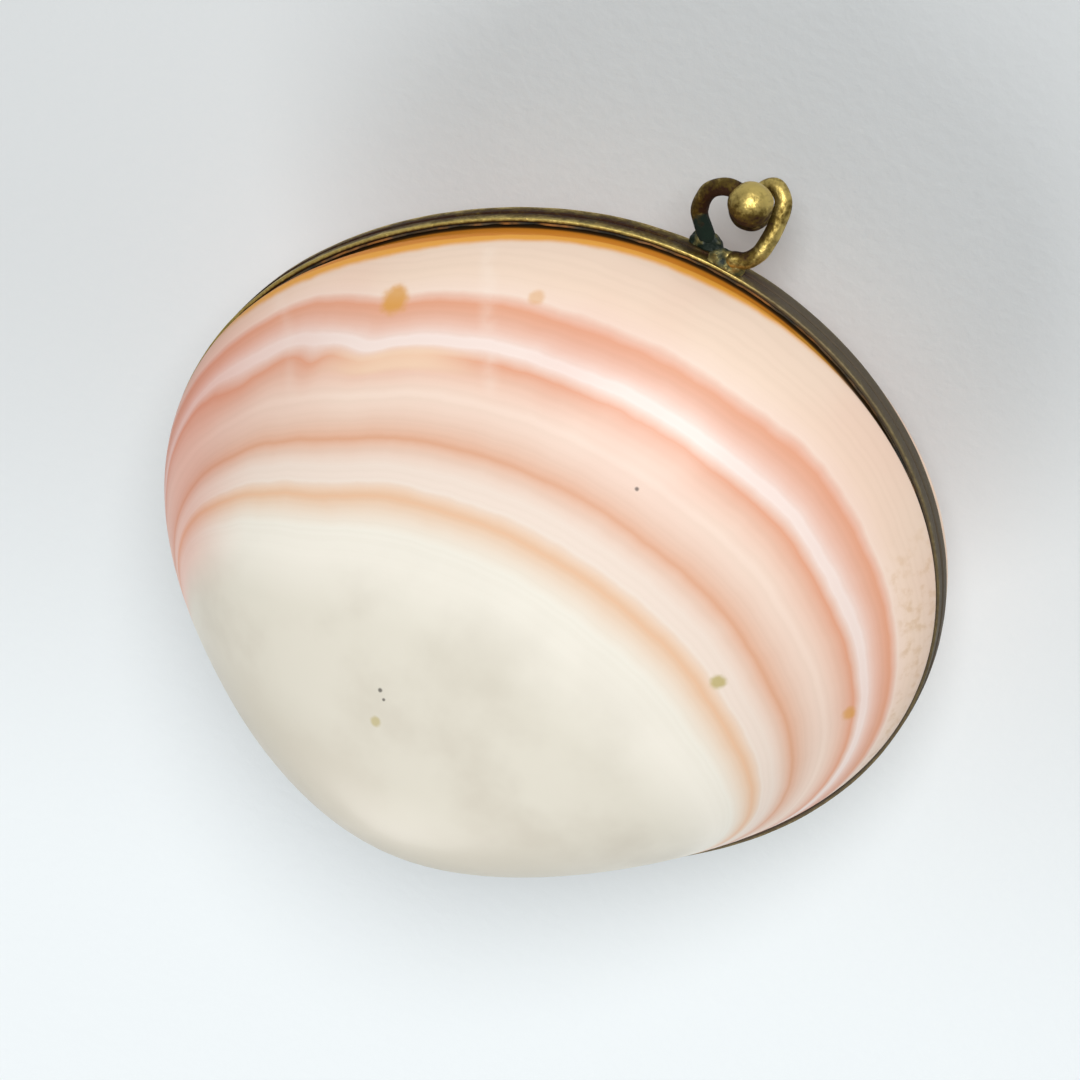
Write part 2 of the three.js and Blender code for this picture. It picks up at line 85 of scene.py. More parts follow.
def edge_point(a, out=0.0):
    """A point of the shell edge, moved outwards square to it."""
    r = edge_radius(a)
    slope = 2 * EDGE_OVAL * np.sin(2 * (a - EDGE_OVAL_TURN))
    slope = slope - 4 * EDGE_SQUARE * np.sin(4 * (a - EDGE_SQUARE_TURN))
    along_x = slope * np.sin(a) + r * np.cos(a)
    along_y = r * np.sin(a) - slope * np.cos(a)
    length = np.hypot(along_x, along_y)
    return r * np.sin(a) + out * along_y / length, -r * np.cos(a) - out * along_x / length


def angle_from_catch(points):
    return np.arctan2(points[:, 0], -points[:, 1])


ring = np.linspace(0, 2 * pi, RING_STEPS, endpoint=False)
ring_y = edge_point(ring)[1]
FRONT_ANGLE = float(ring[np.argmin(ring_y)])
BACK_ANGLE = float(ring[np.argmax(ring_y)])
FRONT_X, FRONT_Y = (float(v) for v in edge_point(FRONT_ANGLE))
print("front of the shell edge in mm:", round(FRONT_X, 2), round(FRONT_Y, 2))

# %% [markdown]
# ## Helpers for pieces
# A finished piece is a plain mesh whose object sits at the origin. It rides on a body of the part and
# stands for one CAD node, which it hides. Short helpers do that once.

# %% Mesh helpers
SHARP_FROM = 38
DOUBLES = 0.001


def mesh_from(work, name):
    """Ends bmesh work in a new mesh."""
    mesh = bpy.data.meshes.new(name)
    work.to_mesh(mesh)
    work.free()
    return mesh


def clean(mesh, doubles=DOUBLES):
    """Merges doubles, turns faces outwards and shades smooth, on a level mesh in mm."""
    work = bmesh.new()
    work.from_mesh(mesh)
    bmesh.ops.remove_doubles(work, verts=work.verts, dist=doubles)
    bmesh.ops.recalc_face_normals(work, faces=work.faces)
    work.to_mesh(mesh)
    work.free()
    for polygon in mesh.polygons:
        polygon.use_smooth = True
    mesh.set_sharp_from_angle(angle=radians(SHARP_FROM))
    return mesh


def turn_over(mesh):
    """Swaps up and down, which makes a lower piece of one drawn for the upper half."""
    mesh.transform(Matrix.Scale(-1, 4, (0, 0, 1)))
    mesh.flip_normals()


def paint(mesh, name, values):
    """Stores one number per vertex under a name that the materials read."""
    layer = mesh.attributes.new(name, "FLOAT", "POINT")
    layer.data.foreach_set("value", np.asarray(values, dtype=np.float32))


def read_vectors(items, key):
    flat = np.empty(len(items) * 3, dtype=np.float64)
    items.foreach_get(key, flat)
    return flat.reshape(-1, 3)


def vertex_array(mesh):
    return read_vectors(mesh.vertices, "co")


def normal_array(mesh):
    return read_vectors(mesh.vertex_normals, "vector")


def move_vertices(mesh, points):
    mesh.vertices.foreach_set("co", points.ravel())
    mesh.update()


def roughen(mesh, amount, scale, seed, push=0.0):
    """Moves vertices along their normals by smooth noise, in mm."""
    points = vertex_array(mesh)
    normals = normal_array(mesh)
    offset = Vector((seed, 2.0 * seed, -seed))
    for i, (point, normal) in enumerate(zip(points, normals)):
        wave = noise.noise(Vector(point) / scale + offset)
        points[i] = point + normal * (push + amount * wave)
    move_vertices(mesh, points)


def linear_step(values, start, full):
    """A straight climb from 0 at start to 1 at full, for an array."""
    return np.clip((values - start) / (full - start), 0, 1)


print("mesh helpers ready, edges are crisp from", SHARP_FROM, "degrees")

# %% Piece helpers
def link(thing):
    bpy.context.scene.collection.objects.link(thing)


def place(name, mesh, material, body, node):
    """Sets a level mesh in mm down as a finished piece."""
    mesh.transform(LEVEL_TO_ROW @ Matrix.Scale(MM, 4))
    mesh.materials.clear()
    mesh.materials.append(material)
    piece = bpy.data.objects.new(name, mesh)
    link(piece)
    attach(piece, body)
    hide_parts(node)
    triangles = sum(len(p.vertices) - 2 for p in mesh.polygons)
    print(name, "rides on", body, "with", triangles, "triangles")


print("piece helpers ready")

# %% [markdown]
# ## Formulas in a node tree
# The valve follows a rule, so Geometry Nodes build it. A long formula is hard to read as a tangle of math
# nodes. The small class below lets Python arithmetic place the nodes, so that the formula reads as it does
# on paper.

# %% Node formulas
class Term:
    """A number that flows through a node tree."""

    def __init__(self, tree, socket):
        self.tree = tree
        self.socket = socket

    def op(self, operation, *others):
        return math_node(self.tree, operation, self, *others)

    def __add__(self, other):
        return self.op("ADD", other)

    def __sub__(self, other):
        return self.op("SUBTRACT", other)

    def __rsub__(self, other):
        return math_node(self.tree, "SUBTRACT", other, self)

    def __mul__(self, other):
        return self.op("MULTIPLY", other)

    def __truediv__(self, other):
        return self.op("DIVIDE", other)

    def __rtruediv__(self, other):
        return math_node(self.tree, "DIVIDE", other, self)

    def __pow__(self, other):
        return self.op("POWER", other)

    __radd__ = __add__
    __rmul__ = __mul__

    def cos(self):
        return self.op("COSINE")

    def sin(self):
        return self.op("SINE")

    def at_least(self, low):
        return self.op("MAXIMUM", low)

    def at_most(self, high):
        return self.op("MINIMUM", high)


def feed(tree, socket, value):
    """Links a term or socket to an input, or sets a plain value on it."""
    if isinstance(value, Term):
        value = value.socket
    if isinstance(value, bpy.types.NodeSocket):
        tree.links.new(value, socket)
    else:
        socket.default_value = value


def math_node(tree, operation, *values):
    node = tree.nodes.new("ShaderNodeMath")
    node.operation = operation
    for socket, value in zip(node.inputs, values):
        feed(tree, socket, value)
    return Term(tree, node.outputs[0])


def straight(value, low, high):
    """A straight climb of a term from 0 at low to 1 at high."""
    return ((value - low) / (high - low)).at_most(1.0).at_least(0.0)


def biased(share, bias):
    """Bends a share from 0 to 1: a bias under 0.5 makes it late, one over 0.5 early."""
    return share / ((1.0 / bias - 2.0) * (1.0 - share) + 1.0)


def add_node(tree, kind, settings=None, **inputs):
    """Adds a node, with settings as attributes and inputs by socket name."""
    node = tree.nodes.new(kind)
    for key, value in (settings or {}).items():
        setattr(node, key, value)
    for key, value in inputs.items():
        feed(tree, node.inputs[key.replace("_", " ")], value)
    return node


print("formula helpers ready")

# %% Tree helpers
def new_tree(name, inputs):
    """A geometry tree with named inputs of (name, kind, default)."""
    tree = bpy.data.node_groups.new(name, "GeometryNodeTree")
    for label, kind, default in inputs:
        socket = tree.interface.new_socket(label, in_out="INPUT", socket_type="NodeSocket" + kind)
        if default is not None:
            socket.default_value = default
    tree.interface.new_socket("Geometry", in_out="OUTPUT", socket_type="NodeSocketGeometry")
    entry = tree.nodes.new("NodeGroupInput")
    return tree, {s.name: Term(tree, s) for s in entry.outputs if s.name}


def end_tree(tree, geometry, material):
    """Ends a tree in Realize Instances and Set Material."""
    real = add_node(tree, "GeometryNodeRealizeInstances", Geometry=geometry)
    finish = add_node(tree, "GeometryNodeSetMaterial", Geometry=real.outputs[0], Material=material)
    leave = tree.nodes.new("NodeGroupOutput")
    tree.links.new(finish.outputs[0], leave.inputs[0])
    print(tree.name, "tree:", len(tree.nodes), "nodes")
    return tree


def grow(name, tree, source=None, **values):
    """Runs a tree and returns its result as a plain mesh."""
    host = bpy.data.objects.new(name + "_host", source or bpy.data.meshes.new(name))
    link(host)
    modifier = host.modifiers.new("nodes", "NODES")
    modifier.node_group = tree
    for item in tree.interface.items_tree:
        if item.in_out == "INPUT" and item.name in values:
            modifier[item.identifier] = values[item.name]
    graph = bpy.context.evaluated_depsgraph_get()
    graph.update()
    mesh = bpy.data.meshes.new_from_object(host.evaluated_get(graph))
    mesh.name = name
    host.modifiers.clear()
    bpy.data.objects.remove(host)
    return mesh


print("tree helpers ready")

# %% [markdown]
# ## Shared shader groups
# Shell and brass are both mottled, and the shell has small stains and growth bands. Each of
# these effects is a node group with named inputs, built once, and a material places it with
# its own values.

# %% Colour and shader helpers
def linear(red, green, blue):
    """A colour as seen on screen, 0 to 255, made linear."""
    steps = [v / 255 for v in (red, green, blue)]
    light = [s / 12.92 if s <= 0.04045 else ((s + 0.055) / 1.055) ** 2.4 for s in steps]
    return (*light, 1.0)


def shader_group(name, inputs, outputs):
    group = bpy.data.node_groups.new(name, "ShaderNodeTree")
    for label, kind, default in inputs:
        socket = group.interface.new_socket(label, in_out="INPUT", socket_type="NodeSocket" + kind)
        socket.default_value = default
    for label, kind in outputs:
        group.interface.new_socket(label, in_out="OUTPUT", socket_type="NodeSocket" + kind)
    entry = group.nodes.new("NodeGroupInput")
    leave = group.nodes.new("NodeGroupOutput")
    return group, entry.outputs, leave.inputs


def place_group(tree, group, **inputs):
    """Places a group and gives its first output as a term."""
    node = tree.nodes.new("ShaderNodeGroup")
    node.node_tree = group
    for key, value in inputs.items():
        feed(tree, node.inputs[key], value)
    return Term(tree, node.outputs[0])


def ramp(tree, factor, stops):
    """A colour ramp from (position, colour) stops."""
    node = tree.nodes.new("ShaderNodeValToRGB")
    feed(tree, node.inputs[0], factor)
    elements = node.color_ramp.elements
    while len(elements) < len(stops):
        elements.new(0.5)
    for element, (position, colour) in zip(elements, stops):
        element.position = position
        element.color = colour
    return node.outputs[0]


def blend_colours(tree, factor, first, second, mode="MIX"):
    node = tree.nodes.new("ShaderNodeMix")
    node.data_type = "RGBA"
    node.blend_type = mode
    feed(tree, node.inputs[0], factor)
    feed(tree, node.inputs[6], first)
    feed(tree, node.inputs[7], second)
    return node.outputs[2]


def smooth_step(tree, value, low, high, to_low=0.0, to_high=1.0):
    node = tree.nodes.new("ShaderNodeMapRange")
    node.interpolation_type = "SMOOTHSTEP"
    for socket, number in zip(node.inputs, (value, low, high, to_low, to_high)):
        feed(tree, socket, number)
    return Term(tree, node.outputs[0])


def between(tree, value, start, full, fade, end):
    """1 from full to fade, with a soft fall to 0 at start and at end."""
    return smooth_step(tree, value, start, full) * smooth_step(tree, value, end, fade)


def attribute(tree, name):
    node = tree.nodes.new("ShaderNodeAttribute")
    node.attribute_name = name
    return Term(tree, node.outputs["Fac"])


def grain(tree, here, scale, detail):
    """Plain noise over the piece."""
    node = add_node(tree, "ShaderNodeTexNoise", Vector=here, Scale=scale, Detail=detail)
    return Term(tree, node.outputs["Fac"])


def surface(name):
    """A new material with its Principled shader and Object coordinates."""
    material = bpy.data.materials.new(name)
    material.use_nodes = True
    tree = material.node_tree
    shader = tree.nodes["Principled BSDF"]
    here = tree.nodes.new("ShaderNodeTexCoord").outputs["Object"]
    return material, tree, shader, here


def finish_surface(tree, shader, relief, distance, strength, **inputs):
    """Feeds the shader's inputs, and a bump node from the relief."""
    for key, value in inputs.items():
        feed(tree, shader.inputs[key.replace("_", " ")], value)
    node = tree.nodes.new("ShaderNodeBump")
    node.inputs["Strength"].default_value = strength
    node.inputs["Distance"].default_value = distance
    feed(tree, node.inputs["Height"], relief)
    tree.links.new(node.outputs["Normal"], shader.inputs["Normal"])


print("mid grey of the screen in linear light:", round(linear(128, 128, 128)[0], 3))

# %% Mottle, stain and band groups
STAIN_WOBBLE_SCALE = 900.0
STAIN_WOBBLE = 0.7
STAIN_GONE = 1.15
STAIN_FULL = 0.45


def mottle_group():
    """Soft patches: noise that climbs from 0 at Low to 1 at High."""
    group, into, out_of = shader_group(
        "Mottle",
        [("Place", "Vector", (0, 0, 0)), ("Scale", "Float", 200.0), ("Detail", "Float", 3.0),
         ("Low", "Float", 0.4), ("High", "Float", 0.6)],
        [("Mask", "Float")],
    )
    cloud = grain(group, into["Place"], into["Scale"], into["Detail"])
    mask = smooth_step(group, cloud, into["Low"], into["High"])
    group.links.new(mask.socket, out_of["Mask"])
    return group


def stain_group():
    """A spot round Centre, with an edge that wobbles."""
    group, into, out_of = shader_group(
        "Stain",
        [("Place", "Vector", (0, 0, 0)), ("Centre", "Vector", (0, 0, 0)), ("Radius", "Float", 0.001)],
        [("Mask", "Float")],
    )
    wobble = add_node(group, "ShaderNodeTexNoise", Vector=into["Place"], Scale=STAIN_WOBBLE_SCALE)
    span = add_node(group, "ShaderNodeVectorMath", {"operation": "DISTANCE"})
    group.links.new(into["Place"], span.inputs[0])
    group.links.new(into["Centre"], span.inputs[1])
    reach = Term(group, span.outputs["Value"]) / Term(group, into["Radius"])
    reach = reach + (Term(group, wobble.outputs["Fac"]) - 0.5) * STAIN_WOBBLE
    mask = smooth_step(group, reach, STAIN_GONE, STAIN_FULL)
    group.links.new(mask.socket, out_of["Mask"])
    return group


def band_group():
    """A growth band that darkens from Start out to Line and is pale again at End."""
    group, into, out_of = shader_group(
        "Growth band",
        [("Growth", "Float", 0.0), ("Start", "Float", 0.8), ("Line", "Float", 0.85),
         ("End", "Float", 0.9), ("Climb", "Float", 0.5), ("Fall", "Float", 0.5)],
        [("Mask", "Float")],
    )
    size = {socket.name: Term(group, socket) for socket in into if socket.name}
    climb = biased(straight(size["Growth"], size["Start"], size["Line"]), size["Climb"])
    fall = biased(straight(size["Growth"], size["Line"], size["End"]), size["Fall"])
    mask = climb * (1.0 - fall)
    group.links.new(mask.socket, out_of["Mask"])
    return group


mottle = mottle_group()
stain = stain_group()
growth_band = band_group()


def patches(tree, here, scale, detail, low, high):
    """The mottle group's mask over the piece."""
    return place_group(tree, mottle, Place=here, Scale=scale, Detail=detail, Low=low, High=high)


print("groups:", mottle.name, stain.name, growth_band.name)

# %% [markdown]
# ## The shell material
# The polished shell shows the clam's growth: a creamy crown, then bands of peach and rose that
# each end in a crisp outer line, like the years of a tree. The bands follow one number, the
# growth, which is 0 at the beak and 1 at the shell's edge. The mesh carries it as an attribute,
# so the bands lie in the right places on both valves. A ramp gives the pale ground, and each
# band tints it towards the colour of its line. All but the second darken slowly and pale fast.
# A second number, the side, is the direction from the beak in degrees, and places what only
# one flank shows.

# %% Growth bands and crown
# the first two ground colours are the crown's cream in painted shade, where it slopes down to the beak
# away from the window
CROWN_PAINTED_SHADE = linear(192, 185, 168)
CREAM_IN_PAINTED_SHADE = linear(212, 206, 190)
CREAM = linear(223, 218, 203)
BRIGHT_CREAM = linear(228, 223, 208)
CROWN_RIM = linear(243, 238, 225)
PALE_GROUND = linear(242, 225, 211)
WARM_GROUND = linear(247, 223, 206)
ROSY_GROUND = linear(249, 230, 221)
LIP_PALE = linear(242, 217, 196)
LIP = linear(235, 210, 189)
# below growth 0.62 the ground darkens towards the beak: painted shade on the crown's back slope
GROUND_COLOURS = [
    (0.42, CROWN_PAINTED_SHADE),
    (0.56, CREAM_IN_PAINTED_SHADE),
    (0.62, CREAM),
    (0.70, BRIGHT_CREAM),
    (0.745, CROWN_RIM),
    (0.797, CROWN_RIM),
    (0.81, PALE_GROUND),
    (0.845, PALE_GROUND),
    (0.882, WARM_GROUND),
    (0.912, WARM_GROUND),
    (0.922, ROSY_GROUND),
    (0.953, ROSY_GROUND),
    (0.963, WARM_GROUND),
    (0.975, LIP_PALE),
    (1.0, LIP),
]
PEACH_LINE = linear(236, 194, 159)
TAN_LINE = linear(229, 175, 143)
ROSE_LINE = linear(232, 168, 136)
GROWTH_BANDS = [
    (PEACH_LINE, {"Start": 0.769, "Line": 0.7965, "End": 0.809, "Climb": 0.39, "Fall": 0.34}),
    (TAN_LINE, {"Start": 0.822, "Line": 0.8445, "End": 0.882, "Climb": 0.38, "Fall": 0.64}),
    (ROSE_LINE, {"Start": 0.882, "Line": 0.9125, "End": 0.922, "Climb": 0.37, "Fall": 0.57}),
    (ROSE_LINE, {"Start": 0.928, "Line": 0.9535, "End": 0.963, "Climb": 0.70, "Fall": 0.40}),
]
WAVER = 0.005
WAVER_SCALE = 110.0
FINE_WAVER = 0.0035
FINE_SCALE = 420.0
LINE_DENSITY = 190.0
LINE_SHADE = 0.08
MIST = linear(210, 203, 187)
MIST_PATCHES = (85.0, 4.0, 0.42, 0.68)
MIST_GROWTH = (0.80, 0.62)
MIST_SHARE = 0.8


def growth_bands(tree, wavering):
    """The pale ground, tinted by one band after another."""
    bands = ramp(tree, wavering, GROUND_COLOURS)
    for line_colour, shape in GROWTH_BANDS:
        mask = place_group(tree, growth_band, Growth=wavering, **shape)
        bands = blend_colours(tree, mask, bands, line_colour)
    return bands


def growth_lines(tree, wavering):
    """Lines along the growth that are far finer than the bands."""
    node = add_node(tree, "ShaderNodeTexNoise", {"noise_dimensions": "1D"},
                    W=wavering * LINE_DENSITY, Scale=1.0, Detail=3.0)
    return Term(tree, node.outputs["Fac"])


def misty_crown(tree, here, growth, bands):
    """Faint grey clouds over the creamy crown."""
    cloud = patches(tree, here, *MIST_PATCHES) * smooth_step(tree, growth, *MIST_GROWTH)
    return blend_colours(tree, cloud * MIST_SHARE, bands, MIST)


print("growth bands:", len(GROWTH_BANDS))

# %% [markdown]
# The bands aren't the same all the way round. A line fades for a stretch, one flank is rosier and has
# painted shade where it turns down, two pale rays cross, and freckles lie by the far edge. Each of these
# is a mask made of soft steps in growth and side. Patches are given as scale, detail, and where they begin
# and are full.

# %% What changes round the shell
FADED_SIDE = (1.0, 9.0, 12.0, 22.0)
FADED_GROWTH = (0.897, 0.905, 0.915, 0.922)
FADED_SHARE = 0.75
PALE_PEACH = linear(248, 217, 187)
ROSY_SIDE = (14.0, 42.0)
ROSY_GROWTH = (0.80, 0.87)
ROSY_SHARE = 0.3
ROSE = linear(218, 146, 126)
# a rose tint together with painted shade where the rosy flank turns down to the limb
ROSY_SHADE_SIDE = (22.0, 42.0)
ROSY_SHADE_GROWTH = (0.66, 0.77)
ROSY_SHADE_EASES = (0.78, 0.86)
ROSY_SHADE_OUTSIDE = 0.5
ROSE_AND_PAINTED_SHADE = linear(250, 212, 206)
RAY_PALE = linear(252, 240, 228)
RAY_MIDDLE = 0.9
RAY_SLOPE = 63.0
RAY_HALF_WIDTH = 1.3
RAY_RISE = 0.015
RAY_GRAIN = (0.3, 0.6)
RAYS = ((1.1, 0.885, 0.2), (22.6, 0.875, 0.12))
FRECKLE = linear(206, 166, 116)
FRECKLE_PATCHES = (900.0, 4.0, 0.46, 0.72)
FRECKLE_SIDE = (-34.0, -39.0)
FRECKLE_GROWTH = (0.962, 0.972)
FRECKLE_SHARE = 0.4
BLUSH_PATCHES = (60.0, 2.0, 0.45, 0.75)
BLUSH_GROWTH = (0.83, 0.90)
BLUSH_SHARE = 0.12


def faded_line(tree, growth, side, bands):
    """The third dark line fades out for a stretch left of the middle."""
    fading = between(tree, side, *FADED_SIDE) * between(tree, growth, *FADED_GROWTH)
    return blend_colours(tree, fading * FADED_SHARE, bands, PALE_PEACH)


def rosy_flank(tree, growth, side, bands):
    """The flank where the bands run together is rosier, and has painted shade of the limb as it turns
    down.
    """
    flank = smooth_step(tree, side, *ROSY_SIDE) * smooth_step(tree, growth, *ROSY_GROWTH)
    bands = blend_colours(tree, flank * ROSY_SHARE, bands, ROSE)
    # multiplies in a rose tint together with painted shade of the limb
    rosy_shade = smooth_step(tree, side, *ROSY_SHADE_SIDE) * smooth_step(tree, growth, *ROSY_SHADE_GROWTH)
    rosy_shade = rosy_shade * smooth_step(tree, growth, *ROSY_SHADE_EASES, 1.0, ROSY_SHADE_OUTSIDE)
    return blend_colours(tree, rosy_shade, bands, ROSE_AND_PAINTED_SHADE, "MULTIPLY")


def pale_rays(tree, growth, side, fine, bands):
    """Pale rays cross the outer bands at a slant."""
    for ray_at, ray_from, strength in RAYS:
        off = side - (growth - RAY_MIDDLE) * RAY_SLOPE - ray_at
        ray = between(tree, off, -RAY_HALF_WIDTH, 0.0, 0.0, RAY_HALF_WIDTH)
        ray = ray * smooth_step(tree, growth, ray_from, ray_from + RAY_RISE)
        ray = ray * smooth_step(tree, fine, *RAY_GRAIN)
        bands = blend_colours(tree, ray * strength, bands, RAY_PALE)
    return bands


def freckles(tree, here, growth, side, bands):
    """Beige freckles at the edge, right of the catch."""
    spots = patches(tree, here, *FRECKLE_PATCHES) * smooth_step(tree, side, *FRECKLE_SIDE)
    spots = spots * smooth_step(tree, growth, *FRECKLE_GROWTH)
    return blend_colours(tree, spots * FRECKLE_SHARE, bands, FRECKLE)


def blush(tree, here, growth, bands):
    """Large soft patches of rose in the outer bands."""
    cloud = patches(tree, here, *BLUSH_PATCHES) * smooth_step(tree, growth, *BLUSH_GROWTH)
    return blend_colours(tree, cloud * BLUSH_SHARE, bands, ROSE)


print("pale rays:", len(RAYS))

# %% [markdown]
# Resin crept up from the cement and stained the foot of the shell orange. Right at the band the foot is
# darkened by dirt and by painted shade of the groove between shell and band. Drips and spots lie in their
# own places, listed level in millimetres. The inside of the shell has no bands: it is white with a little
# lilac.

# %% Resin, spots and lining
EDGE_GLOW = linear(229, 160, 60)
RESIN_BROWN = linear(206, 128, 34)
RESIN_RAMP = [(0.0, EDGE_GLOW), (0.92, EDGE_GLOW), (1.0, RESIN_BROWN)]
RESIN_RAGGED = 0.35
RESIN_RAGGED_FROM = (0.0, 0.1)
RESIN_SHOWS = (0.03, 0.65)
# dark dirt and painted shade in the groove between the shell and the band lip
GRIME_AND_GROOVE_SHADE = linear(50, 34, 14)
STAIN_BROWN = linear(222, 160, 70)
STAIN_OLIVE = linear(186, 170, 96)
SPECK_GREY = linear(70, 66, 60)
SPECK_DARK = linear(60, 56, 50)
STAINS = [
    ((21.8, -20.1, 8.7), 1.75, STAIN_BROWN, 0.85),
    ((9.3, -27.0, 9.2), 0.9, STAIN_BROWN, 0.45),
    ((-21.9, -3.6, 16.8), 0.9, STAIN_OLIVE, 0.8),
    ((-33.9, -2.9, 8.8), 0.9, STAIN_BROWN, 0.7),
    ((5.7, 14.4, 21.6), 0.6, STAIN_OLIVE, 0.6),
    ((6.5, 11.2, 21.4), 0.28, SPECK_GREY, 0.8),
    ((5.8, 11.9, 21.5), 0.22, SPECK_GREY, 0.8),
    ((-7.3, -17.3, 16.2), 0.25, SPECK_DARK, 0.8),
]
INSIDE_WHITE = linear(236, 230, 218)
INSIDE_LILAC = linear(200, 178, 176)
LILAC_PATCHES = (45.0, 3.0, 0.45, 0.7)
LILAC_SHARE = 0.6


def resin_foot(tree, fine, bands):
    """Amber resin with a ragged upper edge, and below it at the band dirt with painted shade of the
    groove.
    """
    glow = attribute(tree, "resin")
    ragged = glow + (fine - 0.5) * RESIN_RAGGED * smooth_step(tree, glow, *RESIN_RAGGED_FROM)
    resin = ramp(tree, glow, RESIN_RAMP)
    bands = blend_colours(tree, smooth_step(tree, ragged, *RESIN_SHOWS), bands, resin)
    # dirt and painted groove shade at the band
    return blend_colours(tree, attribute(tree, "grime_and_groove_shade"), bands, GRIME_AND_GROOVE_SHADE)


def spotted(tree, here, stains, bands):
    for centre, radius, colour, strength in stains:
        centre_in_row = tuple(LEVEL_TO_ROW @ (Vector(centre) * MM))
        spot = place_group(tree, stain, Place=here, Centre=centre_in_row, Radius=radius * MM)
        bands = blend_colours(tree, spot * strength, bands, colour)
    return bands


def shell_lining(tree, here):
    cloud = patches(tree, here, *LILAC_PATCHES)
    return blend_colours(tree, cloud * LILAC_SHARE, INSIDE_WHITE, INSIDE_LILAC)


print("stains:", len(STAINS))

# %% Shell material
LINES_GROWTH = (0.70, 0.82)
LINES_DARK = (0.35, 0.75)
SMOOTHNESS_SCALE = 140.0
POLISHED = 0.38
RUBBED_DULLER = 0.16
SCRATCH_SCALE = 2600.0
LINE_RELIEF = 1.6
SCRATCH_RELIEF = 0.22
SHELL_BUMP = 0.00004


def shell_material(name, stains):
    material, tree, shader, here = surface(name)
    growth = attribute(tree, "growth")
    side = attribute(tree, "side")
    fine = grain(tree, here, FINE_SCALE, 3.0)
    wavering = growth + (grain(tree, here, WAVER_SCALE, 2.0) - 0.5) * WAVER
    wavering = wavering + (fine - 0.5) * FINE_WAVER
    lines = growth_lines(tree, wavering)
    faint = smooth_step(tree, growth, *LINES_GROWTH, 0.0, LINE_SHADE)
    bands = growth_bands(tree, wavering)
    shade = faint * smooth_step(tree, lines, *LINES_DARK)
    bands = blend_colours(tree, shade, bands, MIST, "MULTIPLY")
    bands = misty_crown(tree, here, growth, bands)
    bands = faded_line(tree, growth, side, bands)
    bands = rosy_flank(tree, growth, side, bands)
    bands = pale_rays(tree, growth, side, fine, bands)
    bands = freckles(tree, here, growth, side, bands)
    bands = blush(tree, here, growth, bands)
    bands = resin_foot(tree, fine, bands)
    bands = spotted(tree, here, stains, bands)
    colour = blend_colours(tree, attribute(tree, "inside"), bands, shell_lining(tree, here))
    worn = grain(tree, here, SMOOTHNESS_SCALE, 4.0)
    scratches = grain(tree, here, SCRATCH_SCALE, 2.0)
    relief = lines * faint * LINE_RELIEF + scratches * SCRATCH_RELIEF
    finish_surface(tree, shader, relief, SHELL_BUMP, 0.5, Base_Color=colour,
                   Roughness=POLISHED + worn * RUBBED_DULLER,
                   Specular_IOR_Level=0.35, Coat_Weight=0.08, Coat_Roughness=0.2)
    print(name, "has", len(tree.nodes), "nodes")
    return material


upper_shell_finish = shell_material("polished shell, upper", STAINS)
lower_shell_finish = shell_material("polished shell, lower", [])

# %% [markdown]
# ## The brass, cement and solder materials
# Old brass is bright only where hands rub it. The pieces carry a number from 0 in the hollows to 1 on the
# ridges, and the brass goes from brown tarnish to worn gold with it, with mottles and a touch of
# verdigris. On the band lip, the hooks and the balls this number is rubbing and painted light together: a
# painted highlight on lips, tops and fronts, and painted shade on undersides, inner sides and the band
# wall. Two more attributes darken it: weathered, where the band has gone grey, and damp, where black moss
# creeps out of a solder joint. The cement is dark and crumbly, with amber resin in places.

# %% Brass
# tarnish in the hollows, and the painted shade on the undersides of hooks and balls and on the band wall
TARNISH_AND_SHADE = linear(56, 28, 6)
OLIVE_BRASS = linear(112, 93, 44)
# worn gold, and the painted highlight on lips, tops and fronts
WORN_AND_LIT_BRASS = linear(210, 186, 110)
BRASS_RAMP = [(0.12, TARNISH_AND_SHADE), (0.45, OLIVE_BRASS), (0.85, WORN_AND_LIT_BRASS)]
VERDIGRIS = linear(82, 92, 66)
GREY_OLIVE = linear(96, 86, 70)
BLACK_MOSS = linear(12, 30, 18)
CLOUD_SHARE = 1.2
SPECK_SHARE = 0.9
GREY_SHARE = 0.8
GREY_DULLS = 0.2
GREY_LESS_METAL = 0.35
VERDIGRIS_PATCHES = (330.0, 3.0, 0.56, 0.66)
MOSS_RAGGED = 1.1
MOSS_SHOWS = (0.26, 0.46)
MOSS_LESS_METAL = 0.9
MOSS_ROUGHER = 0.3
MOSS_RELIEF = 1.5
SHINE = (0.0, 0.5, 0.55, 1.0)
DULLNESS = (0.1, 1.0, 0.72, 0.46)


def brass_material(name, green=0.12, golden=0.0, mottling=1.0):
    material, tree, shader, here = surface(name)
    cloud = grain(tree, here, 600.0, 5.0)
    speck = grain(tree, here, 2300.0, 3.0)
    weathered = attribute(tree, "weathered")
    # reads wear and painted light together
    level = attribute(tree, "wear_and_light") + (cloud - 0.5) * CLOUD_SHARE * mottling
    level = level + (speck - 0.5) * SPECK_SHARE * mottling + golden - weathered * GREY_DULLS
    metal = ramp(tree, level, BRASS_RAMP)
    verdigris = patches(tree, here, *VERDIGRIS_PATCHES)
    metal = blend_colours(tree, verdigris * green, metal, VERDIGRIS)
    metal = blend_colours(tree, weathered * GREY_SHARE, metal, GREY_OLIVE)
    damp = attribute(tree, "damp") + (cloud - 0.5) * MOSS_RAGGED
    moss = smooth_step(tree, damp, *MOSS_SHOWS)
    metal = blend_colours(tree, moss, metal, BLACK_MOSS)
    shine = smooth_step(tree, level, *SHINE)
    shine = shine * (1.0 - moss * MOSS_LESS_METAL) * (1.0 - weathered * GREY_LESS_METAL)
    dullness = smooth_step(tree, level, *DULLNESS) + moss * MOSS_ROUGHER
    pits = cloud * 0.6 + speck * 0.5 + moss * cloud * MOSS_RELIEF
    finish_surface(tree, shader, pits, 0.0002, 0.8, Base_Color=metal, Metallic=shine, Roughness=dullness)
    print(name, "has", len(tree.nodes), "nodes")
    return material


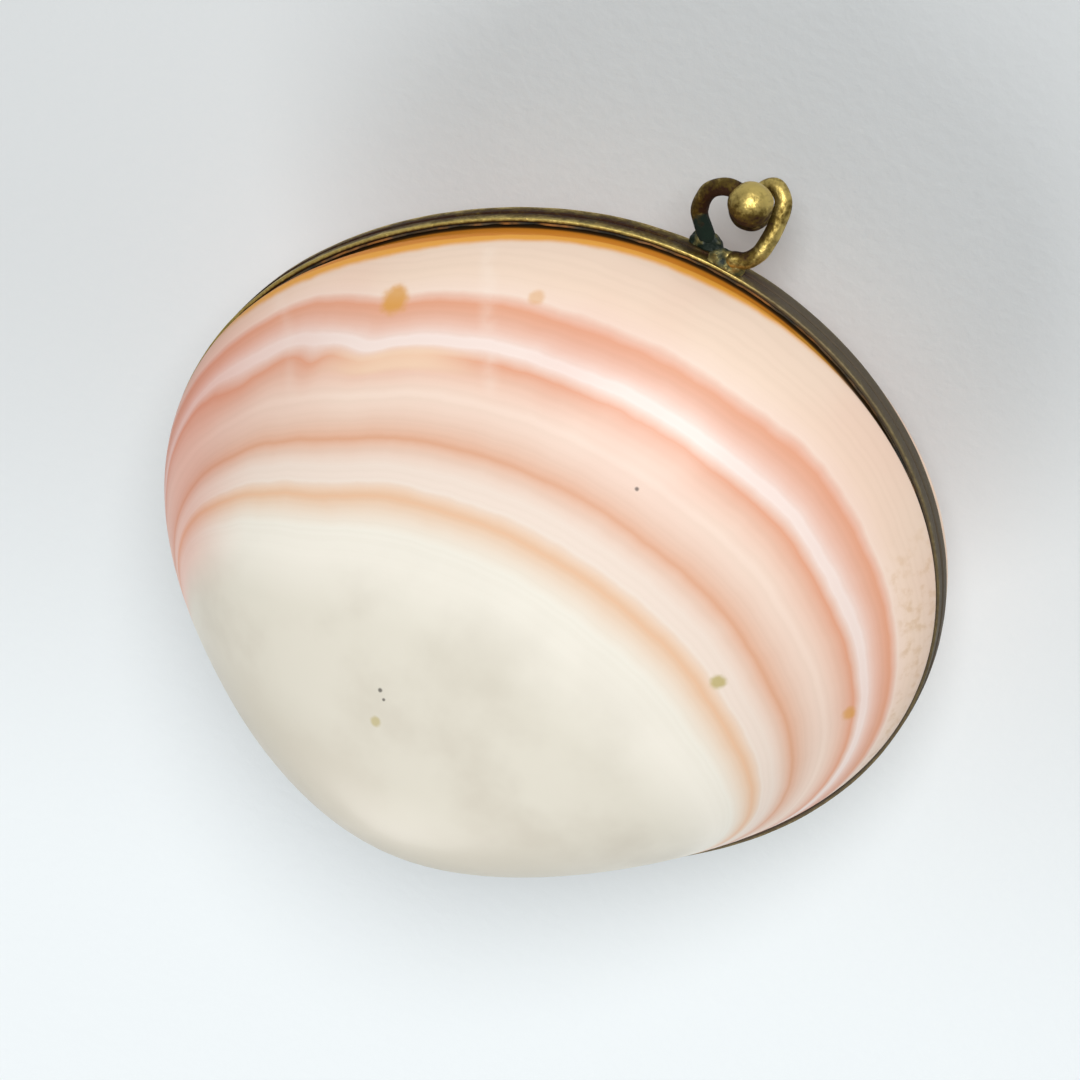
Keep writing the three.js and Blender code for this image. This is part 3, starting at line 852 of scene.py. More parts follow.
band_finish = brass_material("aged brass of the bands", green=0.15, mottling=0.6)
wire_finish = brass_material("rubbed brass of the upper hook", green=0.12, golden=-0.03)
# the lower hook's brass is set darker all over
dark_wire_finish = brass_material("darker brass of the lower hook", green=0.05, golden=-0.42)
ball_finish = brass_material("rubbed brass of the balls", green=0.1, golden=0.08)
hinge_finish = brass_material("aged brass of the hinge", green=0.2, mottling=0.6)

# %% Cement and solder
CEMENT_RAMP = [(0.38, linear(34, 32, 24)), (0.52, linear(74, 58, 34)), (0.68, linear(150, 98, 42))]
SOLDER_RAMP = [(0.4, BLACK_MOSS), (0.5, linear(86, 84, 50)), (0.64, linear(176, 158, 98))]


def cement_material():
    material, tree, shader, here = surface("old fixing cement")
    lump = grain(tree, here, 420.0, 5.0)
    finish_surface(tree, shader, lump, 0.0003, 0.9, Base_Color=ramp(tree, lump, CEMENT_RAMP),
                   Roughness=0.95 - lump * 0.5)
    return material


def solder_material(name, bare):
    """Solder with verdigris, which a higher value of bare leaves more open."""
    material, tree, shader, here = surface(name)
    cloud = grain(tree, here, 900.0, 5.0) + bare
    finish_surface(tree, shader, cloud, 0.0004, 0.9, Base_Color=ramp(tree, cloud, SOLDER_RAMP),
                   Metallic=smooth_step(tree, cloud, 0.42, 0.6, 0.2, 0.9), Roughness=0.8 - cloud * 0.5)
    return material


cement_finish = cement_material()
mossy_solder_finish = solder_material("rough solder under verdigris", -0.12)
bare_solder_finish = solder_material("rough solder with verdigris", 0.03)
print("cement and solder ready")

# %% [markdown]
# ## The valves
# A valve is a hollow dome with an off-centre crown, and its beak overhangs the hinge side. A
# turned bowl would be round, so each point is drawn from the edge towards the crown by one
# formula: the fullness is low in front, which gives the long flat slope, and high at the back.
# The two flanks swell out over the brass band, which hides it there from above.
# The tree bends one grid into the outside, the seat and the hollow, so the wall is closed.

# %% Edge and swell as node terms
LEFT_SWELL = 1.25
LEFT_FLANK = radians(86)
RIGHT_SWELL = 1.45
RIGHT_FLANK = radians(-63)
FLANK_NARROWNESS = 8
SWELL_START = 1.9
SWELL_FULL = 3.2
SWELL_END = 10.0


def outline_terms(a, inset):
    """The shell edge as node terms, moved in square to itself."""
    oval = a * 2.0 - 2 * EDGE_OVAL_TURN
    square = a * 4.0 - 4 * EDGE_SQUARE_TURN
    r = EDGE_RADIUS - oval.cos() * EDGE_OVAL + square.cos() * EDGE_SQUARE
    slope = oval.sin() * (2 * EDGE_OVAL) - square.sin() * (4 * EDGE_SQUARE)
    along_x = slope * a.sin() + r * a.cos()
    along_y = r * a.sin() - slope * a.cos()
    length = (along_x * along_x + along_y * along_y) ** 0.5
    x = r * a.sin() - inset * along_y / length
    y = inset * along_x / length - r * a.cos()
    return x, y


def eased(value, low, high):
    """A smooth step of a term from 0 to 1."""
    share = straight(value, low, high)
    return share * share * (3.0 - 2.0 * share)


def swell_terms(a, z):
    """How far the flanks stand out over the band."""
    left = ((1.0 + (a - LEFT_FLANK).cos()) * 0.5) ** FLANK_NARROWNESS
    right = ((1.0 + (a - RIGHT_FLANK).cos()) * 0.5) ** FLANK_NARROWNESS
    widest = LEFT_SWELL * left + RIGHT_SWELL * right
    return widest * eased(z, SWELL_START, SWELL_FULL) * (1.0 - eased(z, SWELL_FULL, SWELL_END))


print("flanks swell by", LEFT_SWELL, "and", RIGHT_SWELL, "mm")

# %% Valve tree
VALVE_HEIGHT = 21.88
CROWN_BACK = 16.1
CROWN_RIGHT = -0.4
OVERHANG = 3.4
RISE = 1.18
FRONT_FULLNESS = 0.67
BACK_FULLNESS = 1.4
EDGE_WALL = 2.4
CROWN_WALL = 3.2
HOLLOW_CROWN_SHIFT = 1.5
HOLLOW_OVERHANG = 1.7
SEAT_HEIGHT = 1.0
OVERHANG_SCALE = 1.5 * sqrt(3)
VALVE_DOUBLES = 0.002


def choose(flag, outer, inner):
    return outer + flag * (inner - outer)


def valve_tree():
    tree, size = new_tree("Clam valve", [
        ("Segments", "Int", 288), ("Outer Rows", "Int", 140), ("Inner Rows", "Int", 50),
        ("Height", "Float", VALVE_HEIGHT), ("Crown Back", "Float", CROWN_BACK),
        ("Overhang", "Float", OVERHANG), ("Edge Wall", "Float", EDGE_WALL),
        ("Crown Wall", "Float", CROWN_WALL), ("Seat Height", "Float", SEAT_HEIGHT),
        ("Front Fullness", "Float", FRONT_FULLNESS), ("Back Fullness", "Float", BACK_FULLNESS),
        ("Swell", "Float", 1.0), ("Material", "Material", None)])
    total = size["Outer Rows"] + size["Inner Rows"]
    grid = add_node(tree, "GeometryNodeMeshGrid", Size_X=1.0, Size_Y=1.0,
                    Vertices_X=size["Segments"] + 1.0, Vertices_Y=total + 1.0)
    position = tree.nodes.new("GeometryNodeInputPosition")
    spot = add_node(tree, "ShaderNodeSeparateXYZ", Vector=position.outputs[0])
    a = (Term(tree, spot.outputs[0]) + 0.5) * (2 * pi)
    row = ((Term(tree, spot.outputs[1]) + 0.5) * total).op("ROUND")
    inner = row.op("GREATER_THAN", size["Outer Rows"] + 0.5)
    share = choose(inner, row / size["Outer Rows"], (total - row) / (size["Inner Rows"] - 1.0))
    height = choose(inner, size["Height"], size["Height"] - size["Crown Wall"])
    crown_back = choose(inner, size["Crown Back"], size["Crown Back"] - HOLLOW_CROWN_SHIFT)
    overhang = choose(inner, size["Overhang"], size["Overhang"] * (HOLLOW_OVERHANG / OVERHANG))
    start = ((size["Seat Height"] / height) ** (1 / RISE)).op("ARCSINE")
    t = start + (1.0 - share) * (pi / 2 - start)
    z = height * t.sin() ** RISE
    swell = swell_terms(a, z) * size["Swell"]
    edge_x, edge_y = outline_terms(a, inner * size["Edge Wall"])
    outer_x, outer_y = outline_terms(a, inner * size["Edge Wall"] - swell)
    middle = (size["Front Fullness"] + size["Back Fullness"]) * 0.5
    swing = (size["Front Fullness"] - size["Back Fullness"]) * 0.5
    depth = t.cos().at_least(0.0)
    spread = depth ** (1.0 + (middle - 1.0 + swing * a.cos()) * depth * depth)
    towards_back = ((1.0 - a.cos()) * 0.5) ** 2.0
    bulge = t.sin() * t.sin() * depth * OVERHANG_SCALE
    x = CROWN_RIGHT + (edge_x - CROWN_RIGHT) * spread + outer_x - edge_x
    y = crown_back + (edge_y - crown_back) * spread + overhang * bulge * towards_back + outer_y - edge_y
    point = add_node(tree, "ShaderNodeCombineXYZ", X=x, Y=y, Z=z)
    marked = add_node(tree, "GeometryNodeStoreNamedAttribute", {"data_type": "FLOAT", "domain": "POINT"},
                      Geometry=grid.outputs[0], Name="inside", Value=inner)
    shaped = add_node(tree, "GeometryNodeSetPosition", Geometry=marked.outputs[0],
                      Position=point.outputs[0])
    closed = add_node(tree, "GeometryNodeMergeByDistance", Geometry=shaped.outputs[0],
                      Distance=VALVE_DOUBLES)
    return end_tree(tree, closed.outputs[0], size["Material"])


clam_valve = valve_tree()

# %% [markdown]
# Growth is measured from the beak: how far a point lies from it, against the distance from the
# beak to the shell's edge in the same direction. It is worked out per vertex in Python, where
# the distance to the edge can be looked up. The bands lag behind plain growth towards both
# sides, more on the left flank, where they run off under the limb, and they step at a few rays.

# %% Lag of the bands
LAG_CENTRE = -11.0
LAG_BEND = 1.85e-5
LAG_REACH = 57.0
LAG_LEAST = -0.0025
LEFT_FROM = 14.0
LEFT_FULL = 22.0
OUTER_FROM = 0.86
OUTER_FULL = 0.97
INNER_LAG = 0.3
OUTER_LAG = 1.1
KINKS = ((-27.0, 6.0, 0.004), (14.0, 4.0, -0.006), (24.0, 4.0, 0.004))
NOTCH_AT = 31.0
NOTCH_WIDTH = 7.0
NOTCH_GROWTH = 0.925
NOTCH_SPREAD = 0.03
NOTCH_DEPTH = 0.009
TEETH = ((20.3, 1.6, 0.007), (14.5, 2.0, 0.004))
TEETH_GROWTH = 0.915
TEETH_SPREAD = 0.018


def hump(values, centre, width):
    """A smooth bell of height 1."""
    return np.exp(-(((values - centre) / width) ** 2))


def lag_of(growth, angle):
    """How far the bands fall behind plain growth, by direction from the beak."""
    left = linear_step(angle, LEFT_FROM, LEFT_FULL)
    outer = linear_step(growth, OUTER_FROM, OUTER_FULL)
    outer = outer * outer * (3 - 2 * outer)
    share = 1 - left * (1 - INNER_LAG - (OUTER_LAG - INNER_LAG) * outer)
    turned = np.clip(angle - LAG_CENTRE, -LAG_REACH, LAG_REACH)
    lag = LAG_LEAST + LAG_BEND * turned ** 2 * share
    for centre, width, size in KINKS:
        lag = lag + size * hump(angle, centre, width)
    for centre, width, size in TEETH:
        lag = lag - size * hump(angle, centre, width) * hump(growth, TEETH_GROWTH, TEETH_SPREAD)
    notch = hump(angle, NOTCH_AT, NOTCH_WIDTH) * hump(growth, NOTCH_GROWTH, NOTCH_SPREAD)
    return lag - NOTCH_DEPTH * notch


print("kinks, notch and teeth in the bands:", len(KINKS) + 1 + len(TEETH))

# %% Growth from the beak
BEAK_X = 8.4
BEAK_Y = 34.2
BEAK_STEEPNESS = 1.737
BEAK_CLEARANCE = 2.5
GROWTH_MARGIN = 0.5
LAG_STARTS = 0.6
LAG_FULL = 0.75

margin_x, margin_y = edge_point(ring, -GROWTH_MARGIN)
far = BEAK_Y - margin_y > BEAK_CLEARANCE
ahead = (BEAK_Y - margin_y)[far]
aside = (margin_x - BEAK_X)[far]
order = np.argsort(np.arctan2(aside, ahead))
edge_direction = np.arctan2(aside, ahead)[order]
edge_distance = np.hypot(aside, ahead)[order]
print("the edge is at most", round(edge_distance.max(), 1), "mm from the beak")


def growth_of(points):
    """Growth from 0 to 1, and the direction from the beak in degrees, for level points."""
    across = points[:, 0] - BEAK_X
    forward = np.hypot(BEAK_Y - points[:, 1], BEAK_STEEPNESS * points[:, 2])
    direction = np.arctan2(across, forward)
    growth = np.hypot(across, forward) / np.interp(direction, edge_direction, edge_distance)
    angle = np.degrees(direction)
    return growth - lag_of(growth, angle) * linear_step(growth, LAG_STARTS, LAG_FULL), angle


# %% Resin at the foot of the shell
RESIN_TOP = 3.7
RESIN_FULL = 2.4
RESIN_FRONT = radians(-5)
RESIN_FRONT_WIDTH = radians(12)
RESIN_FRONT_RISE = 0.3
RESIN_LEFT = radians(48)
RESIN_LEFT_WIDTH = radians(30)
RESIN_LEFT_RISE = 1.25
RESIN_BEGINS = (radians(-38), radians(-22))
RESIN_ENDS = (radians(86), radians(74))
RESIN_ELSEWHERE = 0.12
# the heights just above the cement where dirt and painted groove shade darken the shell
GRIME_AND_SHADE_TOP = 1.98
GRIME_AND_SHADE_FULL = 1.68


def resin_of(points):
    """How much resin stains the foot of the shell, by height and by place round the edge."""
    a = angle_from_catch(points)
    rise = RESIN_FRONT_RISE * hump(a, RESIN_FRONT, RESIN_FRONT_WIDTH)
    rise = rise + RESIN_LEFT_RISE * hump(a, RESIN_LEFT, RESIN_LEFT_WIDTH)
    height = linear_step(points[:, 2] - rise, RESIN_TOP, RESIN_FULL)
    stretch = linear_step(a, *RESIN_BEGINS) * linear_step(a, *RESIN_ENDS)
    return height * (RESIN_ELSEWHERE + (1 - RESIN_ELSEWHERE) * stretch)


print("resin reaches up to", RESIN_TOP + RESIN_LEFT_RISE, "mm on the left")

# %% The two valves
GROWTH_RELIEF = 0.015
RIPPLES = ((240.0, 0.0), (97.0, 1.0))
RELIEF_STARTS = 0.7
RELIEF_FULL = 0.9
RELIEF_CLEAR = 1.5


def relief_depth(points, growth, inside):
    """Shallow growth steps, on the outside only and not at the seat."""
    ripple = sum(0.5 * np.sin(growth * rate + phase) for rate, phase in RIPPLES)
    depth = GROWTH_RELIEF * (0.5 + 0.5 * ripple) * linear_step(growth, RELIEF_STARTS, RELIEF_FULL)
    return depth * (1 - inside) * linear_step(points[:, 2], SEAT_HEIGHT, SEAT_HEIGHT + RELIEF_CLEAR)


def make_valve(name):
    mesh = clean(grow(name, clam_valve), doubles=VALVE_DOUBLES)
    points = vertex_array(mesh)
    growth, angle = growth_of(points)
    inside = np.empty(len(points), dtype=np.float32)
    mesh.attributes["inside"].data.foreach_get("value", inside)
    points = points - normal_array(mesh) * relief_depth(points, growth, inside)[:, None]
    move_vertices(mesh, points)
    paint(mesh, "growth", growth)
    paint(mesh, "resin", resin_of(points))
    # darkens the foot of the shell: dirt and painted shade of the groove
    paint(mesh, "grime_and_groove_shade", linear_step(points[:, 2], GRIME_AND_SHADE_TOP, GRIME_AND_SHADE_FULL))
    paint(mesh, "side", angle)
    return mesh


upper_mesh = make_valve("upper_shell")
lower_mesh = make_valve("lower_shell")
turn_over(lower_mesh)
place("upper_shell", upper_mesh, upper_shell_finish, "lid", "upper_valve")

# %% [markdown]
# The box stands on a small worn flat of the lower valve. Cutting would leave an open hole, so
# the vertices below the ground are lifted onto it instead, which keeps the wall closed.

# %% Rest flat of the lower valve
leaned = np.array((LEVEL_TO_ROW @ Matrix.Scale(MM, 4)).to_3x3())
shift = np.array(LEVEL_TO_ROW.translation)
ground_points = vertex_array(lower_mesh) @ leaned.T + shift
sunk = ground_points[:, 2] < 0
ground_points[sunk, 2] = 0
move_vertices(lower_mesh, (ground_points - shift) @ np.linalg.inv(leaned).T)
place("lower_shell", lower_mesh, lower_shell_finish, "base", "lower_valve")
print("vertices set on the ground:", int(sunk.sum()))

# %% [markdown]
# ## Bands, cement and hinge plates
# Everything on the rim follows the shell's edge. One tree sweeps a drawn section along that
# edge, all round for a band or a cement ring and over a short arc for a hinge plate. The
# section is a small curve, so that its rounded lips are drawn only once.

# %% Rim tree
BAND_HEIGHT = 1.8
BAND_WALL = 0.5
BAND_FLOOR = 0.6
BAND_FLOOR_REACH = 2.2
PARTING = 0.05
CEMENT_ROOM = 0.25
UPPER_OUT = CEMENT_ROOM + BAND_WALL
LOWER_OUT = UPPER_OUT + 0.1
FIT_GAP = 0.1
RIM_STEPS = 360


def sweep(tree, path, size):
    """Sweeps the Section input along a path, with closed ends."""
    drawn = add_node(tree, "GeometryNodeObjectInfo", Object=size["Section"])
    node = add_node(tree, "GeometryNodeCurveToMesh", Curve=path, Profile_Curve=drawn.outputs["Geometry"],
                    Fill_Caps=True)
    return node.outputs[0]


def rim_tree():
    tree, size = new_tree("Along the shell edge", [
        ("Section", "Object", None), ("Points", "Int", RIM_STEPS), ("From", "Float", 0.0),
        ("Step", "Float", 2 * pi / RIM_STEPS), ("Closed", "Bool", True), ("Material", "Material", None)])
    line = add_node(tree, "GeometryNodeMeshLine", Count=size["Points"])
    path = add_node(tree, "GeometryNodeMeshToCurve", Mesh=line.outputs[0])
    index = Term(tree, tree.nodes.new("GeometryNodeInputIndex").outputs[0])
    x, y = outline_terms(size["From"] + index * size["Step"], 0.0 * index)
    point = add_node(tree, "ShaderNodeCombineXYZ", X=x, Y=y, Z=0.0)
    bent = add_node(tree, "GeometryNodeSetPosition", Geometry=path.outputs[0], Position=point.outputs[0])
    joined = add_node(tree, "GeometryNodeSetSplineCyclic", Geometry=bent.outputs[0], Cyclic=size["Closed"])
    upright = add_node(tree, "GeometryNodeSetCurveNormal", {"mode": "Z_UP"}, Curve=joined.outputs[0])
    return end_tree(tree, sweep(tree, upright.outputs[0], size), size["Material"])


rim = rim_tree()

# %% Sections
CORNER_STEPS = 4
LONGEST_CUT = 2.2


def rounded_corners(corners, rounding):
    """An outline with each corner turned into a short bend."""
    outline = []
    for i, corner in enumerate(corners):
        here = Vector(corner)
        before = Vector(corners[i - 1]) - here
        after = Vector(corners[(i + 1) % len(corners)]) - here
        cut = min(rounding, before.length / LONGEST_CUT, after.length / LONGEST_CUT)
        if cut <= 0:
            outline.append(here)
            continue
        start = here + before.normalized() * cut
        end = here + after.normalized() * cut
        for k in range(CORNER_STEPS + 1):
            s = k / CORNER_STEPS
            outline.append((1 - s) ** 2 * start + 2 * s * (1 - s) * here + s ** 2 * end)
    return outline


def poly_curve(name, points, dimensions):
    data = bpy.data.curves.new(name, "CURVE")
    data.dimensions = dimensions
    spline = data.splines.new("POLY")
    spline.points.add(len(points) - 1)
    for knot, place_at in zip(spline.points, points):
        knot.co = (*place_at, 1)
    return data


def section_curve(name, corners, rounding=0.0):
    """A closed curve of [out, up] corners in mm."""
    outline = [(out, -up, 0) for out, up in rounded_corners(corners, rounding)]
    data = poly_curve(name, outline, "2D")
    data.splines[0].use_cyclic_u = True
    section = bpy.data.objects.new(name, data)
    link(section)
    return section


def block_corners(inner, outer, low, high):
    return [(inner, low), (outer, low), (outer, high), (inner, high)]


def sweep_rim(name, corners, rounding, start=0.0, end=2 * pi, points=RIM_STEPS):
    """Sweeps a section along the edge and gives a level mesh, drawn for the upper half."""
    closed = end - start > 2 * pi - 1e-6
    step = (end - start) / (points if closed else points - 1)
    section = section_curve(name + "_section", corners, rounding)
    mesh = grow(name, rim, Section=section, Points=points, From=start, Step=step, Closed=closed)
    bpy.data.objects.remove(section)
    return clean(mesh)


test_box = vertex_array(sweep_rim("rim_test", block_corners(1, 2, 0, 3), 0.0))
print("a section 1 to 2 out and 0 to 3 up sweeps to", test_box.min(0).round(2), test_box.max(0).round(2))

# %% [markdown]
# Old bands are never quite even: they are bent by hand and rubbed by use. The swept bands get a slight
# waviness, always inwards so that the size stays, and a value for wear and painted light: high on the lip,
# which is rubbed and carries a painted highlight along its rounded edge, and low at the foot of the wall,
# which is tarnish with painted shade. The side right of the catch has gone grey.

# %% Bands
BAND_ROUNDING = 0.18
BAND_WAVE = 0.07
BAND_WAVE_SCALE = 3.0
LIP_FROM = 1.4
LIP_FULL = 1.7
OUTER_FACE_FROM = CEMENT_ROOM + 0.08
OUTER_FACE_FULL = CEMENT_ROOM + 0.28
GREY_BEGINS = (radians(-6), radians(-18))
GREY_ENDS = (radians(-150), radians(-138))
HOLLOW_WEAR = 0.04
LIP_WEAR_AND_HIGHLIGHT = 0.76
WALL_WEAR = 0.1


def edge_offset(points):
    """How far level points stand outside the shell edge."""
    return np.hypot(points[:, 0], points[:, 1]) - edge_radius(angle_from_catch(points))


def band_section(out):
    floor_top = PARTING + BAND_FLOOR
    return [(-BAND_FLOOR_REACH, PARTING), (0.0, PARTING), (out, PARTING), (out, BAND_HEIGHT),
            (CEMENT_ROOM, BAND_HEIGHT), (CEMENT_ROOM, floor_top), (-BAND_FLOOR_REACH, floor_top)]


def make_band(name, out, seed):
    mesh = sweep_rim(name, band_section(out), BAND_ROUNDING)
    points = vertex_array(mesh)
    a = angle_from_catch(points)
    lip = linear_step(points[:, 2], LIP_FROM, LIP_FULL)
    outer = linear_step(edge_offset(points), OUTER_FACE_FROM, OUTER_FACE_FULL)
    roughen(mesh, BAND_WAVE / 2, BAND_WAVE_SCALE, seed, push=-BAND_WAVE / 2)
    # the lip's gold is rubbing plus a painted highlight along the rounded edge, and the wall's low value
    # is tarnish with painted shade
    paint(mesh, "wear_and_light", HOLLOW_WEAR + LIP_WEAR_AND_HIGHLIGHT * lip * outer + WALL_WEAR * outer)
    paint(mesh, "weathered", linear_step(a, *GREY_BEGINS) * linear_step(a, *GREY_ENDS))
    return mesh


upper_band = make_band("upper_rim", UPPER_OUT, seed=3.1)
lower_band = make_band("lower_rim", LOWER_OUT, seed=7.7)
turn_over(lower_band)
place("upper_rim", upper_band, band_finish, "lid", "upper_band")
place("lower_rim", lower_band, band_finish, "base", "lower_band")

# %% [markdown]
# The cement fills the groove between shell and band. It is laid by hand, so its surface is
# lumpy, which a little noise gives. It stays inside its groove and off the brass.

# %% Cement rings
CEMENT_GAP = 0.05
CEMENT_THIN = 0.02
CEMENT_LOW = PARTING + BAND_FLOOR + CEMENT_GAP
CEMENT_BED = 0.25
CEMENT_TOP = SEAT_HEIGHT + 0.6
CEMENT_ROUNDING = 0.05
CEMENT_LUMPS = 0.35
CEMENT_LUMP_SCALE = 1.3


def make_cement(name, seed):
    inner = -BAND_FLOOR_REACH + CEMENT_GAP
    outer = CEMENT_ROOM - CEMENT_THIN
    bed = CEMENT_LOW + CEMENT_BED
    corners = [(inner, CEMENT_LOW), (outer, CEMENT_LOW), (outer, CEMENT_TOP),
               (CEMENT_THIN, CEMENT_TOP), (CEMENT_THIN, bed), (inner, bed)]
    mesh = sweep_rim(name, corners, CEMENT_ROUNDING)
    points = vertex_array(mesh)
    for i, point in enumerate(points):
        if point[2] > SEAT_HEIGHT:
            lump = noise.noise(Vector(point) / CEMENT_LUMP_SCALE + Vector((seed, 0, 0)))
            points[i, 2] += CEMENT_LUMPS * lump
    move_vertices(mesh, points)
    return mesh


upper_fill = make_cement("upper_cement_fill", seed=1.5)
lower_fill = make_cement("lower_cement_fill", seed=4.5)
turn_over(lower_fill)
place("upper_cement_fill", upper_fill, cement_finish, "lid", "upper_cement")
place("lower_cement_fill", lower_fill, cement_finish, "base", "lower_cement")

# %% [markdown]
# ## The hinge
# The hinge is a row of five knuckles on one pin. Three belong to the lower leaf and two to the
# upper. A knuckle is a rule that repeats, so a tree sets rolled tubes along a line with a
# pitch, and each leaf takes its own knuckles, webs and a plate that follows the band.

# %% Knuckle tree
HINGE_LENGTH = 16.0
KNUCKLE_COUNT = 5
KNUCKLE_PITCH = HINGE_LENGTH / KNUCKLE_COUNT
KNUCKLE_END_GAP = 0.2
KNUCKLE_LENGTH = KNUCKLE_PITCH - KNUCKLE_END_GAP


def knuckle_tree():
    tree, size = new_tree("Hinge knuckles", [
        ("Count", "Int", 3), ("Spacing", "Float", 2 * KNUCKLE_PITCH), ("Length", "Float", KNUCKLE_LENGTH),
        ("Section", "Object", None), ("Material", "Material", None)])
    half = size["Length"] * 0.5
    low = add_node(tree, "ShaderNodeCombineXYZ", X=0.0 - half)
    high = add_node(tree, "ShaderNodeCombineXYZ", X=half)
    axis = add_node(tree, "GeometryNodeCurvePrimitiveLine", Start=low.outputs[0], End=high.outputs[0])
    tube = sweep(tree, axis.outputs[0], size)
    pitch = add_node(tree, "ShaderNodeCombineXYZ", X=size["Spacing"])
    points = add_node(tree, "GeometryNodeMeshLine", Count=size["Count"], Offset=pitch.outputs[0])
    row = add_node(tree, "GeometryNodeInstanceOnPoints", Points=points.outputs[0], Instance=tube)
    return end_tree(tree, row.outputs[0], size["Material"])


knuckles = knuckle_tree()

# %% Parts of a leaf
KNUCKLE_RADIUS = 1.1
KNUCKLE_BORE = 0.6
KNUCKLE_SIDES = 40
ROLL_FROM = -80
ROLL_TURN = 350
LEAF_THICKNESS = 0.5
LEAF_MARGIN = 0.2
LEAF_ROUNDING = 0.1
PLATE_STEPS = 48
WEB_REACH = 2.0
BLOCK_BEVEL = 0.08
LEAF_LOW = PARTING + LEAF_MARGIN
LEAF_HIGH = BAND_HEIGHT - LEAF_MARGIN


def knuckle_section():
    """A rolled knuckle seen along the pin, as one open ring around the bore."""
    turns = [radians(ROLL_FROM + ROLL_TURN * k / (KNUCKLE_SIDES - 1)) for k in range(KNUCKLE_SIDES)]
    outer = [(KNUCKLE_RADIUS * cos(a), KNUCKLE_RADIUS * sin(a)) for a in turns]
    bore = [(KNUCKLE_BORE * cos(a), KNUCKLE_BORE * sin(a)) for a in reversed(turns)]
    return section_curve("knuckle_section", outer + bore)


def knuckle_row(name, own):
    section = knuckle_section()
    row = grow(name + "_knuckles", knuckles, Section=section, Count=len(own))
    bpy.data.objects.remove(section)
    first = HINGE_SIDE - HINGE_LENGTH / 2 + (own[0] + 0.5) * KNUCKLE_PITCH
    row.transform(Matrix.Translation((first, HINGE_ABOVE, 0)))
    return row


def leaf_plate(name, out):
    half_arc = HINGE_LENGTH / 2 / float(edge_radius(BACK_ANGLE))
    inner = out + FIT_GAP
    corners = block_corners(inner, inner + LEAF_THICKNESS, LEAF_LOW, LEAF_HIGH)
    return sweep_rim(name + "_plate", corners, LEAF_ROUNDING, BACK_ANGLE - half_arc, BACK_ANGLE + half_arc,
                     PLATE_STEPS)


def web_block(k, low, high):
    """The web that ties knuckle k to the plate."""
    start = HINGE_SIDE - HINGE_LENGTH / 2 + k * KNUCKLE_PITCH + KNUCKLE_END_GAP / 2
    lowest = (start, HINGE_ABOVE - WEB_REACH, low)
    highest = (start + KNUCKLE_LENGTH, HINGE_ABOVE - KNUCKLE_BORE, high)
    work = bmesh.new()
    bmesh.ops.create_cube(work, size=1.0)
    for vertex in work.verts:
        vertex.co = [first if at < 0 else last for at, first, last in zip(vertex.co, lowest, highest)]
    bmesh.ops.bevel(work, geom=work.edges[:], offset=BLOCK_BEVEL, segments=2, affect="EDGES")
    return mesh_from(work, "web")


def joined(name, meshes):
    work = bmesh.new()
    for mesh in meshes:
        work.from_mesh(mesh)
    return clean(mesh_from(work, name))


print("a knuckle is", KNUCKLE_LENGTH, "mm long and the plates", LEAF_HIGH - LEAF_LOW, "mm high")

# %% Hinge leaves
KNUCKLE_WEAR = 0.35


def leaf_wear(mesh):
    """The knuckles stand proud and are rubbed, the plate is not."""
    proud = (vertex_array(mesh)[:, 1] - HINGE_ABOVE) / KNUCKLE_RADIUS
    paint(mesh, "wear_and_light", np.clip(KNUCKLE_WEAR * (1 + proud), 0, 1))


upper_own = range(1, KNUCKLE_COUNT, 2)
upper_webs = [web_block(k, LEAF_LOW, KNUCKLE_RADIUS) for k in upper_own]
upper_plate = leaf_plate("upper", UPPER_OUT)
upper_leaf = joined("upper_leaf", [knuckle_row("upper", upper_own), upper_plate] + upper_webs)
leaf_wear(upper_leaf)
place("upper_leaf", upper_leaf, hinge_finish, "lid", "upper_hinge_leaf")

lower_own = range(0, KNUCKLE_COUNT, 2)
lower_webs = [web_block(k, -KNUCKLE_RADIUS, -LEAF_LOW) for k in lower_own]
lower_plate = leaf_plate("lower", LOWER_OUT)
turn_over(lower_plate)
lower_leaf = joined("lower_leaf", [knuckle_row("lower", lower_own), lower_plate] + lower_webs)
leaf_wear(lower_leaf)
place("lower_leaf", lower_leaf, hinge_finish, "base", "lower_hinge_leaf")

# %% [markdown]
# The pin is a rod with two domed heads. A turned piece like this is one outline spun round its
# axis, so the script lists the outline's few radii and spins it.

# %% Hinge pin
PIN_RADIUS = 0.5
PIN_HEAD_RADIUS = 0.85
PIN_HEAD_LENGTH = 0.4
PIN_SIDES = 48
PIN_WEAR = 0.45


def spun(name, outline):
    """Spins an outline of (along, radius) about the x axis."""
    work = bmesh.new()
    turns = [2 * pi * i / PIN_SIDES for i in range(PIN_SIDES)]
    rings = []
    for along, radius in outline:
        round_it = turns if radius else turns[:1]
        rings.append([work.verts.new((along, radius * cos(a), radius * sin(a))) for a in round_it])
    for first, second in zip(rings, rings[1:]):
        for i in range(PIN_SIDES):
            j = (i + 1) % PIN_SIDES
            around = ((first, i), (first, j), (second, j), (second, i))
            corners = [verts[k % len(verts)] for verts, k in around]
            work.faces.new(list(dict.fromkeys(corners)))
    return clean(mesh_from(work, name))


def pin_outline():
    half = HINGE_LENGTH / 2
    dome = [radians(a) for a in range(0, 90, 15)]
    head = [(half + PIN_HEAD_LENGTH * sin(a), PIN_HEAD_RADIUS * cos(a)) for a in dome]
    right = [(half, PIN_RADIUS)] + head + [(half + PIN_HEAD_LENGTH, 0)]
    return [(-along, radius) for along, radius in reversed(right)] + right


pin_mesh = spun("hinge_rod", pin_outline())
pin_mesh.transform(Matrix.Translation((HINGE_SIDE, HINGE_ABOVE, 0)))
paint(pin_mesh, "wear_and_light", np.full(len(pin_mesh.vertices), PIN_WEAR))
place("hinge_rod", pin_mesh, hinge_finish, "base", "hinge_pin")

